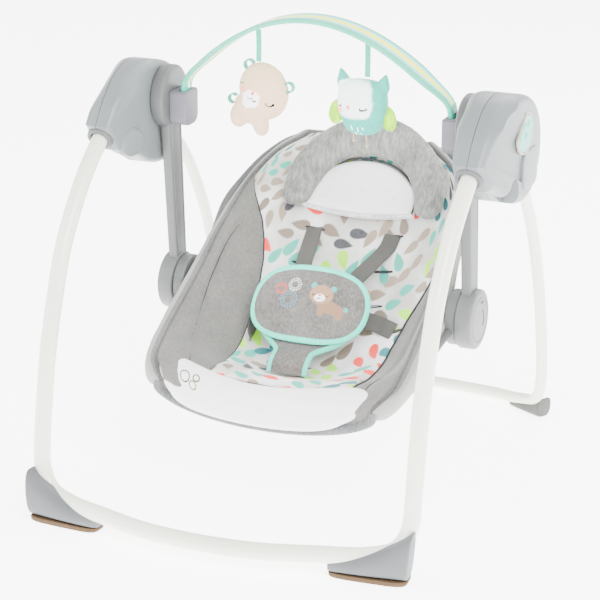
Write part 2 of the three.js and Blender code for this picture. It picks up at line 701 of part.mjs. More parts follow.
function buckle() {
  const body = sidePlate(roundedRect(-22, 22, -8, 8, 5), -19, 19, { round: 2 });
  const way = block(-8.3, 8.3, -10.3, 6.3, 2, 12);
  return onPadBack(minus(body, way));
}

const buckleButton = () => onPadBack(block(-8, 8, -10, 6, 4.4, 9.6));

// local y up the pad, local z towards the sitter's front
function onPadBack(geometry) {
  const tilt = Math.atan2(PAD_HIGH.z - PAD_LOW.z, PAD_HIGH.y - PAD_LOW.y);
  return geometry.rotateX(tilt).translate(0, -14, 206);
}

function shoulderStrap() {
  const slot = lifted(0.24, 0.71, LINER_TOP + 6);
  return strap([slot, v3(56, 92, 282), v3(46, 50, 264), v3(36, 18, 246), v3(30, 2, 233)],
    v3(1, 0.2, 0), 24, 2, 8);
}

function waistStrap() {
  const slot = lifted(0.5, 0.47, LINER_TOP + 5);
  return strap([slot, v3(96, -6, 204), v3(78, -10, 210), v3(60, -13, 212), v3(34, -14, 211)],
    v3(0, 0.62, 0.78), 24, 2, 8);
}

// ---------------------------------------------------------------- assembly
place('front_leg_tube', frontLegTube(), FINISH.whitePaint);
place('rear_leg_tube', rearLegTube(), FINISH.whitePaint);
placePair('front_foot', frontFoot(), FINISH.greyFoot);
placePair('front_sole', frontSole(), FINISH.sole);
placePair('rear_foot', rearFoot(), FINISH.greyFoot);
placePair('leg_knuckle', legKnuckle(), FINISH.darkGrey);
placePair('hinge_bolt', hingeBolt(), FINISH.steel);

placePair('housing_inner', housingInner(), FINISH.greyShell);
place('housing_outer_right', housingOuter(DRIVE_SIDE), FINISH.greyShell);
place('housing_outer_left', mirrored(housingOuter(IDLE_SIDE)), FINISH.greyShell);
place('fold_latch_right', foldLatch(DRIVE_SIDE), FINISH.darkGrey);
place('fold_latch_left', mirrored(foldLatch(IDLE_SIDE)), FINISH.darkGrey);
placePair('axle_bush', axleBush(), FINISH.acetal);

place('drive_magnet', driveMagnet(), FINISH.steel);
place('drive_coil', driveCoil(), FINISH.copper);
place('circuit_board', circuitBoard(), FINISH.board);
place('speaker', speaker(), FINISH.darkGrey);
[-7.5, 8, 23.5, 39].forEach((y, i) => place(`battery_cell_${i + 1}`, batteryCell(y), FINISH.cell));
place('control_panel', controlPanel(), FINISH.teal);
BUTTONS.forEach((b) => place(b.name, pushButton(b), FINISH.mark));
place('battery_door', batteryDoor(), FINISH.greyShell);

placePair('swing_arm', swingArm(), FINISH.greyArm);
placePair('swing_axle', swingAxle(), FINISH.steel);
placePair('toy_bar_socket', toyBarSocket(), FINISH.pocket);
place('toy_bar', toyBar(), FINISH.teal);
place('bear_ribbon', ribbon(-TOY_X, 550), FINISH.ribbon);
place('bear_toy', bearToy(), FINISH.bearFur);
place('owl_ribbon', ribbon(TOY_X, 543), FINISH.ribbon);
place('owl_toy', owlToy(), FINISH.owlPlush);

place('seat_shell', seatShell(), FINISH.heather);
place('seat_liner', seatLiner(), FINISH.print);
place('front_pad', frontPad(), FINISH.velour);
place('headrest', headrest(), FINISH.plush);
place('seat_frame_front', seatFrameFront(), FINISH.steel);
place('seat_frame_back', seatFrameBack(), FINISH.steel);
placePair('recline_hub', reclineHub(), FINISH.greyArm);
place('waist_pad', joined(waistPad(), crotchFlap()), FINISH.heather);
place('buckle', buckle(), FINISH.buckle);
place('buckle_button', buckleButton(), FINISH.release);
placePair('shoulder_strap', shoulderStrap(), FINISH.strapGrey);
placePair('waist_strap', waistStrap(), FINISH.strapGrey);

export default swing;
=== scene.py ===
"""Looks for the portable baby swing: smooth shells, painted tubes, sewn seat, harness, toys and finishes.

Points are written in millimetres in the swing's own frame: x across from the middle of the seat, y back
from the swing axis, z up from the floor. to_row() turns them into metres in the row frame.
"""

import json
import math

import bmesh
import bpy
import numpy as np
from bpy.props import FloatProperty, FloatVectorProperty, IntProperty
from mathutils import Matrix, Vector, noise
from mathutils.kdtree import KDTree
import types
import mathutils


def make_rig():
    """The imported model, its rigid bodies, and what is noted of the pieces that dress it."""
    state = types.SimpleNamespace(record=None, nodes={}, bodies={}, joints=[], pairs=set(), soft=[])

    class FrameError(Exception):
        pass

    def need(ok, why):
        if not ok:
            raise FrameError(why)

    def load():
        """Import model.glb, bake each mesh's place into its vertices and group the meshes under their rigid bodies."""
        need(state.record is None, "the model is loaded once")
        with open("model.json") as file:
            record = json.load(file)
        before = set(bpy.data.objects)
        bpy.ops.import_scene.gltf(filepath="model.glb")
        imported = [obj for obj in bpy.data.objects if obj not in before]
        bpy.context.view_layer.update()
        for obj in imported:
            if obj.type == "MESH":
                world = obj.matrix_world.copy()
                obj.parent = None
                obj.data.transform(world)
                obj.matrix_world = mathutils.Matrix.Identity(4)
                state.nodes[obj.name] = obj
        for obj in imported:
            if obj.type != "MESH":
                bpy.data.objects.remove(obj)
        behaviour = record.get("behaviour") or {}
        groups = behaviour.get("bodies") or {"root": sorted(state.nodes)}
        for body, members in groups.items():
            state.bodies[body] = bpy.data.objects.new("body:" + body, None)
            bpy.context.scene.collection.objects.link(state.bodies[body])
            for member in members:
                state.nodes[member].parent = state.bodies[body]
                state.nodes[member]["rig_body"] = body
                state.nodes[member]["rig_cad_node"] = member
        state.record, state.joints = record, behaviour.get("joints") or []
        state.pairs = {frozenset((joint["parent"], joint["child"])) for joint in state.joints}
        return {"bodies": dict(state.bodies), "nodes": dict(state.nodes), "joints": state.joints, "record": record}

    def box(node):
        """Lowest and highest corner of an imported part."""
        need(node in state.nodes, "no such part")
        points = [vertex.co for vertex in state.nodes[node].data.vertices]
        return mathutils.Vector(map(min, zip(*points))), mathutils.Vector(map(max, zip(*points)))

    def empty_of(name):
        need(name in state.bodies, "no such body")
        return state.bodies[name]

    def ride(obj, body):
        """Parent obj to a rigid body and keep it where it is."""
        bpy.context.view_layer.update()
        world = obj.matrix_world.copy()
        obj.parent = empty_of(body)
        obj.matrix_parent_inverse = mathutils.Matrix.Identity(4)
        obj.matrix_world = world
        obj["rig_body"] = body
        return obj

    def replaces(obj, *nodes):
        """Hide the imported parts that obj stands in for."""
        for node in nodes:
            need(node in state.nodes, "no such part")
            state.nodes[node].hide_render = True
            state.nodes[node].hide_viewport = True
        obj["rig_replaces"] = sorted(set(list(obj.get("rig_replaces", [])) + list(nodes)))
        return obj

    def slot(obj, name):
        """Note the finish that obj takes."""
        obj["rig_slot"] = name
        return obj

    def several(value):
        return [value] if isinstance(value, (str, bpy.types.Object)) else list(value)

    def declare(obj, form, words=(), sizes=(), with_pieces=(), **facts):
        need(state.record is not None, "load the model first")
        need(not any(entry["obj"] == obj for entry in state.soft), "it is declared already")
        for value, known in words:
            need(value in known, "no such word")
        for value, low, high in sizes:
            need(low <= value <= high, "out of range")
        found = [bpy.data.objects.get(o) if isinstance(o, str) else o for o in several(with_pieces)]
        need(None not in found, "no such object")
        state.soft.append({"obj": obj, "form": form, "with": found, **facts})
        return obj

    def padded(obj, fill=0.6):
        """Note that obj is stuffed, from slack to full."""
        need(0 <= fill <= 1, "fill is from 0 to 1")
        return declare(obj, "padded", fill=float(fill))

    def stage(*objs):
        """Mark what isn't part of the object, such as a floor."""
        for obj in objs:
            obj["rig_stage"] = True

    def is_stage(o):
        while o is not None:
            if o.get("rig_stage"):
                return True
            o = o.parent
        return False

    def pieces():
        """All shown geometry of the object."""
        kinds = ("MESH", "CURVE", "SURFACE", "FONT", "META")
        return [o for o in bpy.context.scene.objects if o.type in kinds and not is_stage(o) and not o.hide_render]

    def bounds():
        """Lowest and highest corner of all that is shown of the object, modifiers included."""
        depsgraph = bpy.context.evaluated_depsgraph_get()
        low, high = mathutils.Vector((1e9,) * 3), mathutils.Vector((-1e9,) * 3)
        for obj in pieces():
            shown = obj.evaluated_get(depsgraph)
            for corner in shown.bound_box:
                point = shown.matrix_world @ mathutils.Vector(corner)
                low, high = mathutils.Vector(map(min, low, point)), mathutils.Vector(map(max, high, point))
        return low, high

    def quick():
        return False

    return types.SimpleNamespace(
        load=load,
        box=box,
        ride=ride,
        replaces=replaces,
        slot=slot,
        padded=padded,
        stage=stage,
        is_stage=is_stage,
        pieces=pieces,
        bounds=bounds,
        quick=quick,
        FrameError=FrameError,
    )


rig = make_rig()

bl_info = {
    "name": "Baby swing",
    "version": (1, 0, 0),
    "blender": (4, 5, 0),
    "location": "View3D > Sidebar > Baby swing",
    "description": "Builds the pieces and finishes of a portable baby swing round its packed frame",
    "category": "Object",
}

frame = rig.load()
CAD_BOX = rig.bounds()

# ---------------------------------------------------------------- places taken from the frame
RIGHT_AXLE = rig.box("swing_axle_right")
LEFT_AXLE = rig.box("swing_axle_left")
ORIGIN = Vector(((RIGHT_AXLE[0].x + LEFT_AXLE[1].x) / 2, (RIGHT_AXLE[0].y + RIGHT_AXLE[1].y) / 2, 0))
PIVOT_Z = (RIGHT_AXLE[0].z + RIGHT_AXLE[1].z) / 2 * 1000
SIDES = {"right": 1, "left": -1}

HOUSING_IN = 222.5
HOUSING_FACE = {"right": 287, "left": 272}
PARTING = 253.5
HUB = (15, 224)


def to_row(point):
    """A point in millimetres in the swing's frame, in metres in the row frame."""
    return ORIGIN + Vector(point) / 1000


# ---------------------------------------------------------------- paths and outlines
def smooth_path(points):
    """A centripetal curve through the points, as a function of t from 0 to 1."""
    pts = np.array(points, float)
    last = len(pts) - 1

    def place(t):
        run = min(max(t, 0.0), 1.0) * last
        i = min(int(run), last - 1)
        w = run - i
        p1, p2 = pts[i], pts[i + 1]
        p0 = pts[i - 1] if i > 0 else 2 * p1 - p2
        p3 = pts[i + 2] if i + 2 <= last else 2 * p2 - p1
        d0, d1, d2 = (math.sqrt(np.linalg.norm(b - a)) for a, b in ((p0, p1), (p1, p2), (p2, p3)))
        m1 = ((p1 - p0) / d0 - (p2 - p0) / (d0 + d1) + (p2 - p1) / d1) * d1
        m2 = ((p2 - p1) / d1 - (p3 - p1) / (d1 + d2) + (p3 - p2) / d2) * d1
        return p1 + m1 * w + (3 * (p2 - p1) - 2 * m1 - m2) * w**2 + (2 * (p1 - p2) + m1 + m2) * w**3

    return place


def even_points(points, count):
    """Points evenly spaced along the smooth path through the given ones."""
    place = smooth_path(points)
    dense = np.array([place(t) for t in np.linspace(0, 1, 24 * len(points))])
    run = np.concatenate([[0], np.cumsum(np.linalg.norm(np.diff(dense, axis=0), axis=1))])
    spots = np.linspace(0, run[-1], count)
    return np.stack([np.interp(spots, run, dense[:, k]) for k in range(3)], axis=1)


def both_sides(half):
    """A path over the left side, mirrored, joined to the right one at the middle."""
    left = [(-x, y, z) for x, y, z in half]
    return left + list(reversed(half[:-1]))


def unit(vector):
    return vector / np.linalg.norm(vector)


def tangents(points):
    return np.array([unit(v) for v in np.gradient(points, axis=0)])


def frames_along(points, across):
    """Side and up directions at each point of a path: sides stay as near to `across` as the path allows."""
    out = []
    for tangent in tangents(points):
        up = unit(np.cross(tangent, across))
        out.append((unit(np.cross(up, tangent)), up))
    return out


def carried_frames(points):
    """Side and up directions that turn as little as they can along the path."""
    side = None
    out = []
    for tangent in tangents(points):
        if side is None:
            side = np.cross(tangent, (0.0, 0.0, 1.0) if abs(tangent[2]) < 0.9 else (0.0, 1.0, 0.0))
        side = unit(side - tangent * np.dot(side, tangent))
        out.append((side, np.cross(tangent, side)))
    return out


def ellipse(cy, cz, ry, rz, count, turn=0.0):
    angle = np.linspace(0, 2 * math.pi, count, endpoint=False)
    y, z = ry * np.cos(angle), rz * np.sin(angle)
    return np.stack([cy + y * math.cos(turn) - z * math.sin(turn), cz + y * math.sin(turn)
                     + z * math.cos(turn)], axis=1)


def rounded_rect(y0, y1, z0, z1, r, corner=6):
    points = []
    for cy, cz, start in ((y1 - r, z0 + r, -90), (y1 - r, z1 - r, 0), (y0 + r, z1 - r, 90),
                          (y0 + r, z0 + r, 180)):
        for i in range(corner + 1):
            a = math.radians(start + 90 * i / corner)
            points.append((cy + r * math.cos(a), cz + r * math.sin(a)))
    return np.array(points)


def clipped(outline, centre, direction, reach):
    """The outline with a straight side where it would pass `reach` from the centre along the direction."""
    rel = outline - np.array(centre)
    way = unit(np.array(direction, float))
    over = np.maximum(rel @ way - reach, 0)
    return outline - over[:, None] * way


def inset(outline, amount):
    """A counterclockwise outline moved inwards."""
    ahead = np.roll(outline, -1, axis=0) - outline
    ahead /= np.linalg.norm(ahead, axis=1)[:, None]
    normal = np.stack([ahead[:, 1], -ahead[:, 0]], axis=1)
    corner = normal + np.roll(normal, 1, axis=0)
    length = np.linalg.norm(corner, axis=1)[:, None]
    return outline - corner / np.maximum(length, 1.2) ** 2 * 2 * np.asarray(amount)


# ---------------------------------------------------------------- shaping
def begin():
    """An empty bmesh whose vertices can hold their place in a ring and on a piece of cloth."""
    bm = bmesh.new()
    bm.verts.layers.int.new("spot")
    bm.verts.layers.float_vector.new("lay")
    return bm


def loft(bm, stations, lays=None, caps=True):
    """A skin over rings of points: a circle is pulled from ring to ring, and both ends are closed."""
    spot = bm.verts.layers.int["spot"]
    lay = bm.verts.layers.float_vector["lay"]
    verts = bmesh.ops.create_circle(bm, radius=1, segments=len(stations[0]))["verts"]
    for i, vert in enumerate(verts):
        vert[spot] = i
    edges = list(dict.fromkeys(e for v in verts for e in v.link_edges))
    for n, station in enumerate(stations):
        if n:
            made = bmesh.ops.extrude_edge_only(bm, edges=edges)["geom"]
            verts = [g for g in made if isinstance(g, bmesh.types.BMVert)]
            fresh = set(verts)
            edges = [g for g in made if isinstance(g, bmesh.types.BMEdge) and fresh.issuperset(g.verts)]
        for vert in verts:
            vert.co = to_row(station[vert[spot]])
            if lays is not None:
                vert[lay] = Vector(lays[n][vert[spot]]) / 1000
        if caps and n in (0, len(stations) - 1):
            bmesh.ops.edgeloop_fill(bm, edges=edges)


def tube(bm, points, radius, sides=20, taper=None):
    """A round bar along evenly spaced points. taper gives each end's share of the radius."""
    angle = np.linspace(0, 2 * math.pi, sides, endpoint=False)
    run = np.concatenate([[0], np.cumsum(np.linalg.norm(np.diff(points, axis=0), axis=1))])
    stations, lays = [], []
    for i, (point, (side, up)) in enumerate(zip(points, carried_frames(points))):
        share = 1.0 if taper is None else taper(i / (len(points) - 1))
        a, b = np.cos(angle) * radius * share, np.sin(angle) * radius * share
        stations.append(point + a[:, None] * side + b[:, None] * up)
        lays.append([(radius * t, run[i], 0) for t in angle])
    loft(bm, stations, lays)


def band(bm, points, across, width, thick, wide=None, edge=4):
    """A flat strap along evenly spaced points, with rounded edges.
    lay holds across, along, and across from -1 to 1."""
    run = np.concatenate([[0], np.cumsum(np.linalg.norm(np.diff(points, axis=0), axis=1))])
    arc = np.linspace(-math.pi / 2, math.pi / 2, edge + 1)
    rim = [(1 - thick / width * (1 - math.cos(a)), math.sin(a)) for a in arc]
    flat = [(x, 1) for x in np.linspace(0.8, -0.8, 7)]
    ring = rim + flat + [(-x, -s) for x, s in rim] + [(-x, -s) for x, s in flat]
    stations, lays = [], []
    for i, (point, (side, up)) in enumerate(zip(points, frames_along(points, across))):
        half = width / 2 * (wide(i / (len(points) - 1)) if wide else 1)
        stations.append([point + side * x * half + up * s * thick / 2 for x, s in ring])
        lays.append([(x * half, run[i], x * 1000) for x, s in ring])
    loft(bm, stations, lays)


def plate(bm, outline, profile, face=None, ease=None):
    """An outline in the side plane, built across x. profile lists (x, inset), face may bend x by (x, y, z)
    and ease may lessen the inset by y."""
    stations = []
    for x, amount in profile:
        ring = inset(outline, amount if ease is None else amount * ease(outline[:, 0])[:, None])
        xs = np.array([face(x, y, z) for y, z in ring]) if face else np.full(len(ring), float(x))
        stations.append(np.column_stack([xs, ring]))
    loft(bm, stations)


def rounded_profile(x0, x1, r0, r1, steps=5, crown=0.0, reach=9.0):
    """(x, inset) pairs across a plate with its two rims rounded by r0 and r1.
    crown domes the outer face."""
    quarter = [math.pi / 2 * i / steps for i in range(steps + 1)]
    start = [(x0 + r0 * (1 - math.sin(a)), r0 * (1 - math.cos(a)))
             for a in reversed(quarter)] if r0 else [(x0, 0)]
    end = [(x1 - r1 * (1 - math.sin(a)), r1 * (1 - math.cos(a))) for a in quarter] if r1 else [(x1, 0)]
    start = [(x0, r0)] + [p for p in start if p[1] < r0 - 1e-6] if r0 else start
    tail = [(x1 + crown, r1 + reach)] if crown else []
    return start + end + tail


def lathe_x(bm, rings, y, z, sides=48):
    """A round piece about an axis along x: rings lists (x, radius)."""
    loft(bm, [np.column_stack([np.full(sides, float(x)), ellipse(y, z, r, r, sides)]) for x, r in rings])


def ball(bm, centre, radii, turn=(0, 0, 0), detail=3, square=1.0, point=0.0):
    """An ellipsoid made from an icosphere. square below 1 fills its corners and point narrows its top."""
    size = Matrix.Diagonal(Vector(radii) / 1000).to_4x4()
    spin = Matrix.Rotation(math.radians(turn[1]), 4, "Y") @ Matrix.Rotation(math.radians(turn[0]), 4, "X")
    spin = spin @ Matrix.Rotation(math.radians(turn[2]), 4, "Z")
    matrix = Matrix.Translation(to_row(centre)) @ spin @ size
    verts = bmesh.ops.create_icosphere(bm, subdivisions=detail, radius=1)["verts"]
    for vert in verts:
        corner = Vector([math.copysign(abs(c) ** square, c) for c in vert.co])
        narrow = 1 - point * max(0.0, corner.z)
        vert.co = matrix @ Vector((corner.x * narrow, corner.y, corner.z))


def cloth_grid(bm, na, nb, place, dense=0.5):
    """A closed pad: a grid over a and b from -1 to 1 is doubled, and place(a, b, c) puts both faces.
    dense gathers the rows towards the edges. lay holds a, b and c."""
    lay = bm.verts.layers.float_vector["lay"]
    spread = lambda t: t * (1 + dense * (1 - t * t))
    bmesh.ops.create_grid(bm, x_segments=na, y_segments=nb, size=1)
    faces = list(bm.faces)
    for vert in bm.verts:
        vert[lay] = (spread(vert.co.x), spread(vert.co.y), -1)
    made = bmesh.ops.extrude_face_region(bm, geom=faces, use_keep_orig=True)["geom"]
    for vert in (g for g in made if isinstance(g, bmesh.types.BMVert)):
        vert[lay] = (vert[lay][0], vert[lay][1], 1)
    for vert in bm.verts:
        vert.co = to_row(place(*vert[lay]))


def mirror_x(bm, side):
    """The shape as it is for the right, or mirrored in the swing's middle plane for the left."""
    if side == "left":
        centre = Matrix.Translation(Vector((ORIGIN.x, 0, 0)))
        flip = centre @ Matrix.Scale(-1, 4, (1, 0, 0)) @ centre.inverted()
        bmesh.ops.transform(bm, matrix=flip, verts=bm.verts)


def finish_shape(name, bm, material, smooth=35):
    """The bmesh as a mesh object with outward faces, smooth but for edges sharper than `smooth` degrees."""
    bmesh.ops.recalc_face_normals(bm, faces=bm.faces)
    mesh = bpy.data.meshes.new(name)
    bm.to_mesh(mesh)
    bm.free()
    mesh.materials.append(material)
    mesh.shade_smooth()
    mesh.set_sharp_from_angle(angle=math.radians(smooth))
    piece = bpy.data.objects.new(name, mesh)
    bpy.context.scene.collection.objects.link(piece)
    return piece


def settle(piece, body, nodes=(), slot=None):
    """The piece rides on a body, stands for CAD nodes and takes its finish from a slot."""
    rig.ride(piece, body)
    if nodes:
        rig.replaces(piece, *nodes)
    if slot:
        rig.slot(piece, slot)
    return piece


def evaluated_mesh(piece):
    graph = bpy.context.evaluated_depsgraph_get()
    return bpy.data.meshes.new_from_object(piece.evaluated_get(graph), preserve_all_data_layers=True,
                                           depsgraph=graph)


def apply_modifiers(piece):
    """The piece's mesh becomes what its modifiers make of it."""
    bpy.context.view_layer.update()
    mesh = evaluated_mesh(piece)
    piece.modifiers.clear()
    piece.data = mesh
    return piece


def carve(piece, cutter_bm):
    """Takes a cutter's shape out of the piece."""
    cutter = finish_shape("cutter", cutter_bm, piece.data.materials[0])
    cut = piece.modifiers.new("carve", "BOOLEAN")
    cut.operation = "DIFFERENCE"
    cut.solver = "EXACT"
    cut.object = cutter
    apply_modifiers(piece)
    bpy.data.objects.remove(cutter)
    piece.data.set_sharp_from_angle(angle=math.radians(35))
    return piece


def soften(piece, levels=1):
    """One smooth subdivision, the same in the view and in the render."""
    rounds = piece.modifiers.new("soften", "SUBSURF")
    rounds.levels = levels
    rounds.render_levels = levels
    return piece


def evened(piece, voxel):
    """Remeshes the piece into one even skin and keeps the cloth coordinates of the nearest old points."""
    old = KDTree(len(piece.data.vertices))
    places = [v.vector.copy() for v in piece.data.attributes["lay"].data]
    for i, vert in enumerate(piece.data.vertices):
        old.insert(vert.co, i)
    old.balance()
    remesh = piece.modifiers.new("even", "REMESH")
    remesh.mode = "VOXEL"
    remesh.voxel_size = voxel / 1000
    remesh.use_smooth_shade = True
    apply_modifiers(piece)
    attribute = piece.data.attributes.get("lay") or piece.data.attributes.new("lay", "FLOAT_VECTOR", "POINT")
    for i, vert in enumerate(piece.data.vertices):
        near = old.find_n(vert.co, 4)
        weights = [1 / (distance + 1e-5) for _, _, distance in near]
        total = sum((places[index] * w for (_, index, _), w in zip(near, weights)), Vector())
        attribute.data[i].vector = total / sum(weights)
    return piece


def stuffed(piece, voxel=5.0, pressure=4.0, cap=6.0, frames=20):
    """Fills a sewn pad: even skin, then cloth under pressure with no gravity.
    No point moves more than `cap` millimetres."""
    evened(piece, voxel)
    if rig.quick():
        return soften(piece)
    rest = np.array([v.co for v in piece.data.vertices])
    cloth = piece.modifiers.new("stuffing", "CLOTH")
    settings = cloth.settings
    settings.quality = 6
    settings.mass = 0.2
    settings.tension_stiffness = 20
    settings.compression_stiffness = 12
    settings.shear_stiffness = 8
    settings.bending_stiffness = 0.6
    settings.use_pressure = True
    settings.uniform_pressure_force = pressure
    settings.effector_weights.gravity = 0
    cloth.collision_settings.use_collision = False
    scene = bpy.context.scene
    cloth.point_cache.frame_start = 1
    cloth.point_cache.frame_end = frames
    for step in range(1, frames + 1):
        scene.frame_set(step)
    graph = bpy.context.evaluated_depsgraph_get()
    moved = np.array([v.co for v in piece.evaluated_get(graph).data.vertices])
    shift = moved - rest
    length = np.linalg.norm(shift, axis=1)[:, None]
    limit = cap / 1000
    shift *= np.where(length > limit, limit / np.maximum(length, 1e-9), 1.0)
    piece.modifiers.clear()
    piece.data.vertices.foreach_set("co", (rest + shift).astype(np.float32).ravel())
    scene.frame_set(1)
    piece.data.update()
    return soften(piece)


# ---------------------------------------------------------------- shader building
class Value:
    """An output of a node. Arithmetic on it adds Math nodes."""

    def __init__(self, look, socket):
        self.look = look
        self.socket = socket

    def _math(self, operation, first, second=0.0):
        return self.look.node("ShaderNodeMath", {"operation": operation}, {0: first, 1: second})

    def __add__(self, other):
        return self._math("ADD", self, other)

    def __radd__(self, other):
        return self._math("ADD", other, self)

    def __sub__(self, other):
        return self._math("SUBTRACT", self, other)

    def __rsub__(self, other):
        return self._math("SUBTRACT", other, self)

    def __mul__(self, other):
        return self._math("MULTIPLY", self, other)

    def __rmul__(self, other):
        return self._math("MULTIPLY", other, self)

    def __truediv__(self, other):
        return self._math("DIVIDE", self, other)

    def __pow__(self, other):
        return self._math("POWER", self, other)

    def __lt__(self, other):
        return self._math("LESS_THAN", self, other)

    def __abs__(self):
        return self._math("ABSOLUTE", self)

    def at_least(self, other):
        return self._math("MAXIMUM", self, other)

    def at_most(self, other):
        return self._math("MINIMUM", self, other)

    def sine(self):
        return self._math("SINE", self)


class Look:
    """One material: a Principled shader and the nodes that feed it."""

    def __init__(self, name, rough=0.5, **constants):
        self.material = bpy.data.materials.new(name)
        self.material.use_nodes = True
        self.tree = self.material.node_tree
        self.shader = self.tree.nodes["Principled BSDF"]
        self.shader.inputs["Roughness"].default_value = rough
        for label, value in constants.items():
            self.shader.inputs[label.replace("_", " ").title().replace("Ior", "IOR")].default_value = value

    def node(self, kind, settings=None, sockets=None, out=0):
        """Any node: its settings first, then the values or links of its sockets."""
        made = self.tree.nodes.new(kind)
        for label, value in (settings or {}).items():
            if label == "stops":
                self._stops(made.color_ramp, value)
            elif label == "interpolation":
                made.color_ramp.interpolation = value
            else:
                setattr(made, label, value)
        for label, value in (sockets or {}).items():
            if isinstance(value, Value):
                self.tree.links.new(value.socket, made.inputs[label])
            else:
                made.inputs[label].default_value = value
        return Value(self, made.outputs[out])

    @staticmethod
    def _stops(ramp, stops):
        while len(ramp.elements) < len(stops):
            ramp.elements.new(1.0)
        for element, (position, colour) in zip(ramp.elements, stops):
            element.position = position
            element.color = (*colour, 1)

    def feed(self, **sockets):
        """Links values to the shader's own sockets."""
        for label, value in sockets.items():
            self.tree.links.new(value.socket, self.shader.inputs[label.replace("_", " ").title()])
        return self

    def place(self):
        return self.node("ShaderNodeTexCoord", out="Object")

    def lay(self):
        return self.node("ShaderNodeAttribute", {"attribute_name": "lay"}, out="Vector")

    def parts(self, vector):
        """The x, y and z of a vector."""
        split = self.node("ShaderNodeSeparateXYZ", None, {0: vector})
        return split, Value(self, split.socket.node.outputs[1]), Value(self, split.socket.node.outputs[2])

    def vector(self, x, y, z=0.0):
        return self.node("ShaderNodeCombineXYZ", None, {0: x, 1: y, 2: z})

    def stretched(self, vector, scale, turn=(0, 0, 0)):
        return self.node("ShaderNodeMapping", None, {"Vector": vector, "Scale": scale, "Rotation": turn})

    def noise(self, scale, vector=None, detail=3.0, rough=0.5):
        sockets = {"Vector": vector or self.place(), "Scale": scale, "Detail": detail, "Roughness": rough}
        return self.node("ShaderNodeTexNoise", None, sockets)

    def fade(self, value, low, high, start=0.0, end=1.0):
        """A smooth step of value between low and high."""
        sockets = {"Value": value, "From Min": low, "From Max": high, "To Min": start, "To Max": end}
        return self.node("ShaderNodeMapRange", {"interpolation_type": "SMOOTHSTEP"}, sockets)

    def mix(self, share, first, second):
        """A colour between two, by share."""
        pair = [(*c, 1) if isinstance(c, tuple) and len(c) == 3 else c for c in (first, second)]
        return self.node("ShaderNodeMix", {"data_type": "RGBA"}, {0: share, 6: pair[0], 7: pair[1]}, out=2)

    def bump(self, height, strength, depth):
        """Feeds the shader's normal from a height, in metres of depth."""
        made = self.node("ShaderNodeBump", None, {"Height": height, "Strength": strength, "Distance": depth})
        return self.feed(Normal=made)

    def oval(self, x, y, cx, cy, rx, ry, turn=0.0, soft=0.08, fill=1.0):
        """1 inside an oval and 0 outside, in the units of x and y. fill above 1 squares its corners."""
        c, s = math.cos(turn), math.sin(turn)
        dx, dy = x - cx, y - cy
        along = (dx * c + dy * s) / rx
        aside = (dy * c - dx * s) / ry
        reach = (abs(along) ** (2 * fill) + abs(aside) ** (2 * fill)) ** (0.5 / fill)
        return self.fade(reach, 1 + soft, 1 - soft)

    def ring(self, x, y, cx, cy, r, half):
        """1 on a thin round line."""
        dx, dy = x - cx, y - cy
        gap = abs((dx * dx + dy * dy) ** 0.5 - r)
        return self.fade(gap, half * 1.3, half * 0.7)

    def stroke(self, x, y, cx, cy, rx, ry, half):
        """1 on the lower half of a thin oval line, like a closed eye."""
        dx, dy = (x - cx) / rx, (y - cy) / ry
        gap = abs((dx * dx + dy * dy) ** 0.5 - 1)
        return self.fade(gap, half * 1.4, half * 0.6) * (dy < 0)


SEEN = (0, 30, 60, 89, 118, 147, 176, 202, 223, 239, 255)
STOPS_OF_LIGHT = (-9.0, -6.5, -4.6, -3.47, -2.47, -1.47, -0.47, 0.53, 1.53, 2.53, 4.0)
STUDIO_LIGHT = 5.0


def seen(r, g, b):
    """The surface colour that shows as the given 0 to 255 colour under the studio light."""
    grey = (r + g + b) / 3
    boost = 1.1 + 0.9 * (max(r, g, b) - min(r, g, b)) / 255
    pure = [grey + boost * (c - grey) for c in (r, g, b)]
    return tuple(min(0.93, 2 ** float(np.interp(c, SEEN, STOPS_OF_LIGHT)) / STUDIO_LIGHT) for c in pure)


def gloss_paint(name, colour):
    """Baked-on tube paint: faint orange peel under a clear gloss."""
    look = Look(name, rough=0.22, coat_weight=0.35, coat_roughness=0.08)
    cloud = look.noise(6, detail=2)
    look.feed(Base_Color=look.mix(look.fade(cloud, 0.35, 0.7), colour, tuple(c * 0.96 for c in colour)))
    look.feed(Roughness=look.fade(look.noise(60), 0.3, 0.7, 0.18, 0.27))
    return look.bump(look.noise(420, detail=2), 0.12, 0.0004).material


def moulded(name, colour, rough=0.42, grain=0.35, shade=0.9):
    """Moulded plastic: a fine spark-eroded grain, slight flow clouding and rubbed patches."""
    look = Look(name, rough=rough, specular_ior_level=0.45)
    cloud = look.noise(9, detail=4, rough=0.6)
    rubbed = look.fade(look.noise(23, detail=5, rough=0.7), 0.55, 0.75)
    tint = look.mix(look.fade(cloud, 0.3, 0.72), tuple(c * shade for c in colour), colour)
    look.feed(Base_Color=look.mix(rubbed * 0.12, tint, tuple(min(1, c * 1.35) for c in colour)))
    look.feed(Roughness=look.fade(cloud, 0.2, 0.8, rough - 0.05, rough + 0.07) - rubbed * 0.06)
    return look.bump(look.noise(1500, detail=2, rough=0.6), grain, 0.00025).material


def metal(name, colour, rough=0.3, lines=(1, 1, 1)):
    """Metal with fine drawn or turned marks along one direction."""
    look = Look(name, rough=rough, metallic=1.0)
    marks = look.noise(700, look.stretched(look.place(), lines), detail=3)
    look.feed(Base_Color=look.mix(look.fade(marks, 0.3, 0.7), tuple(c * 0.8 for c in colour), colour))
    look.feed(Roughness=look.fade(marks, 0.2, 0.8, rough - 0.08, rough + 0.1))
    return look.bump(marks, 0.15, 0.0002).material


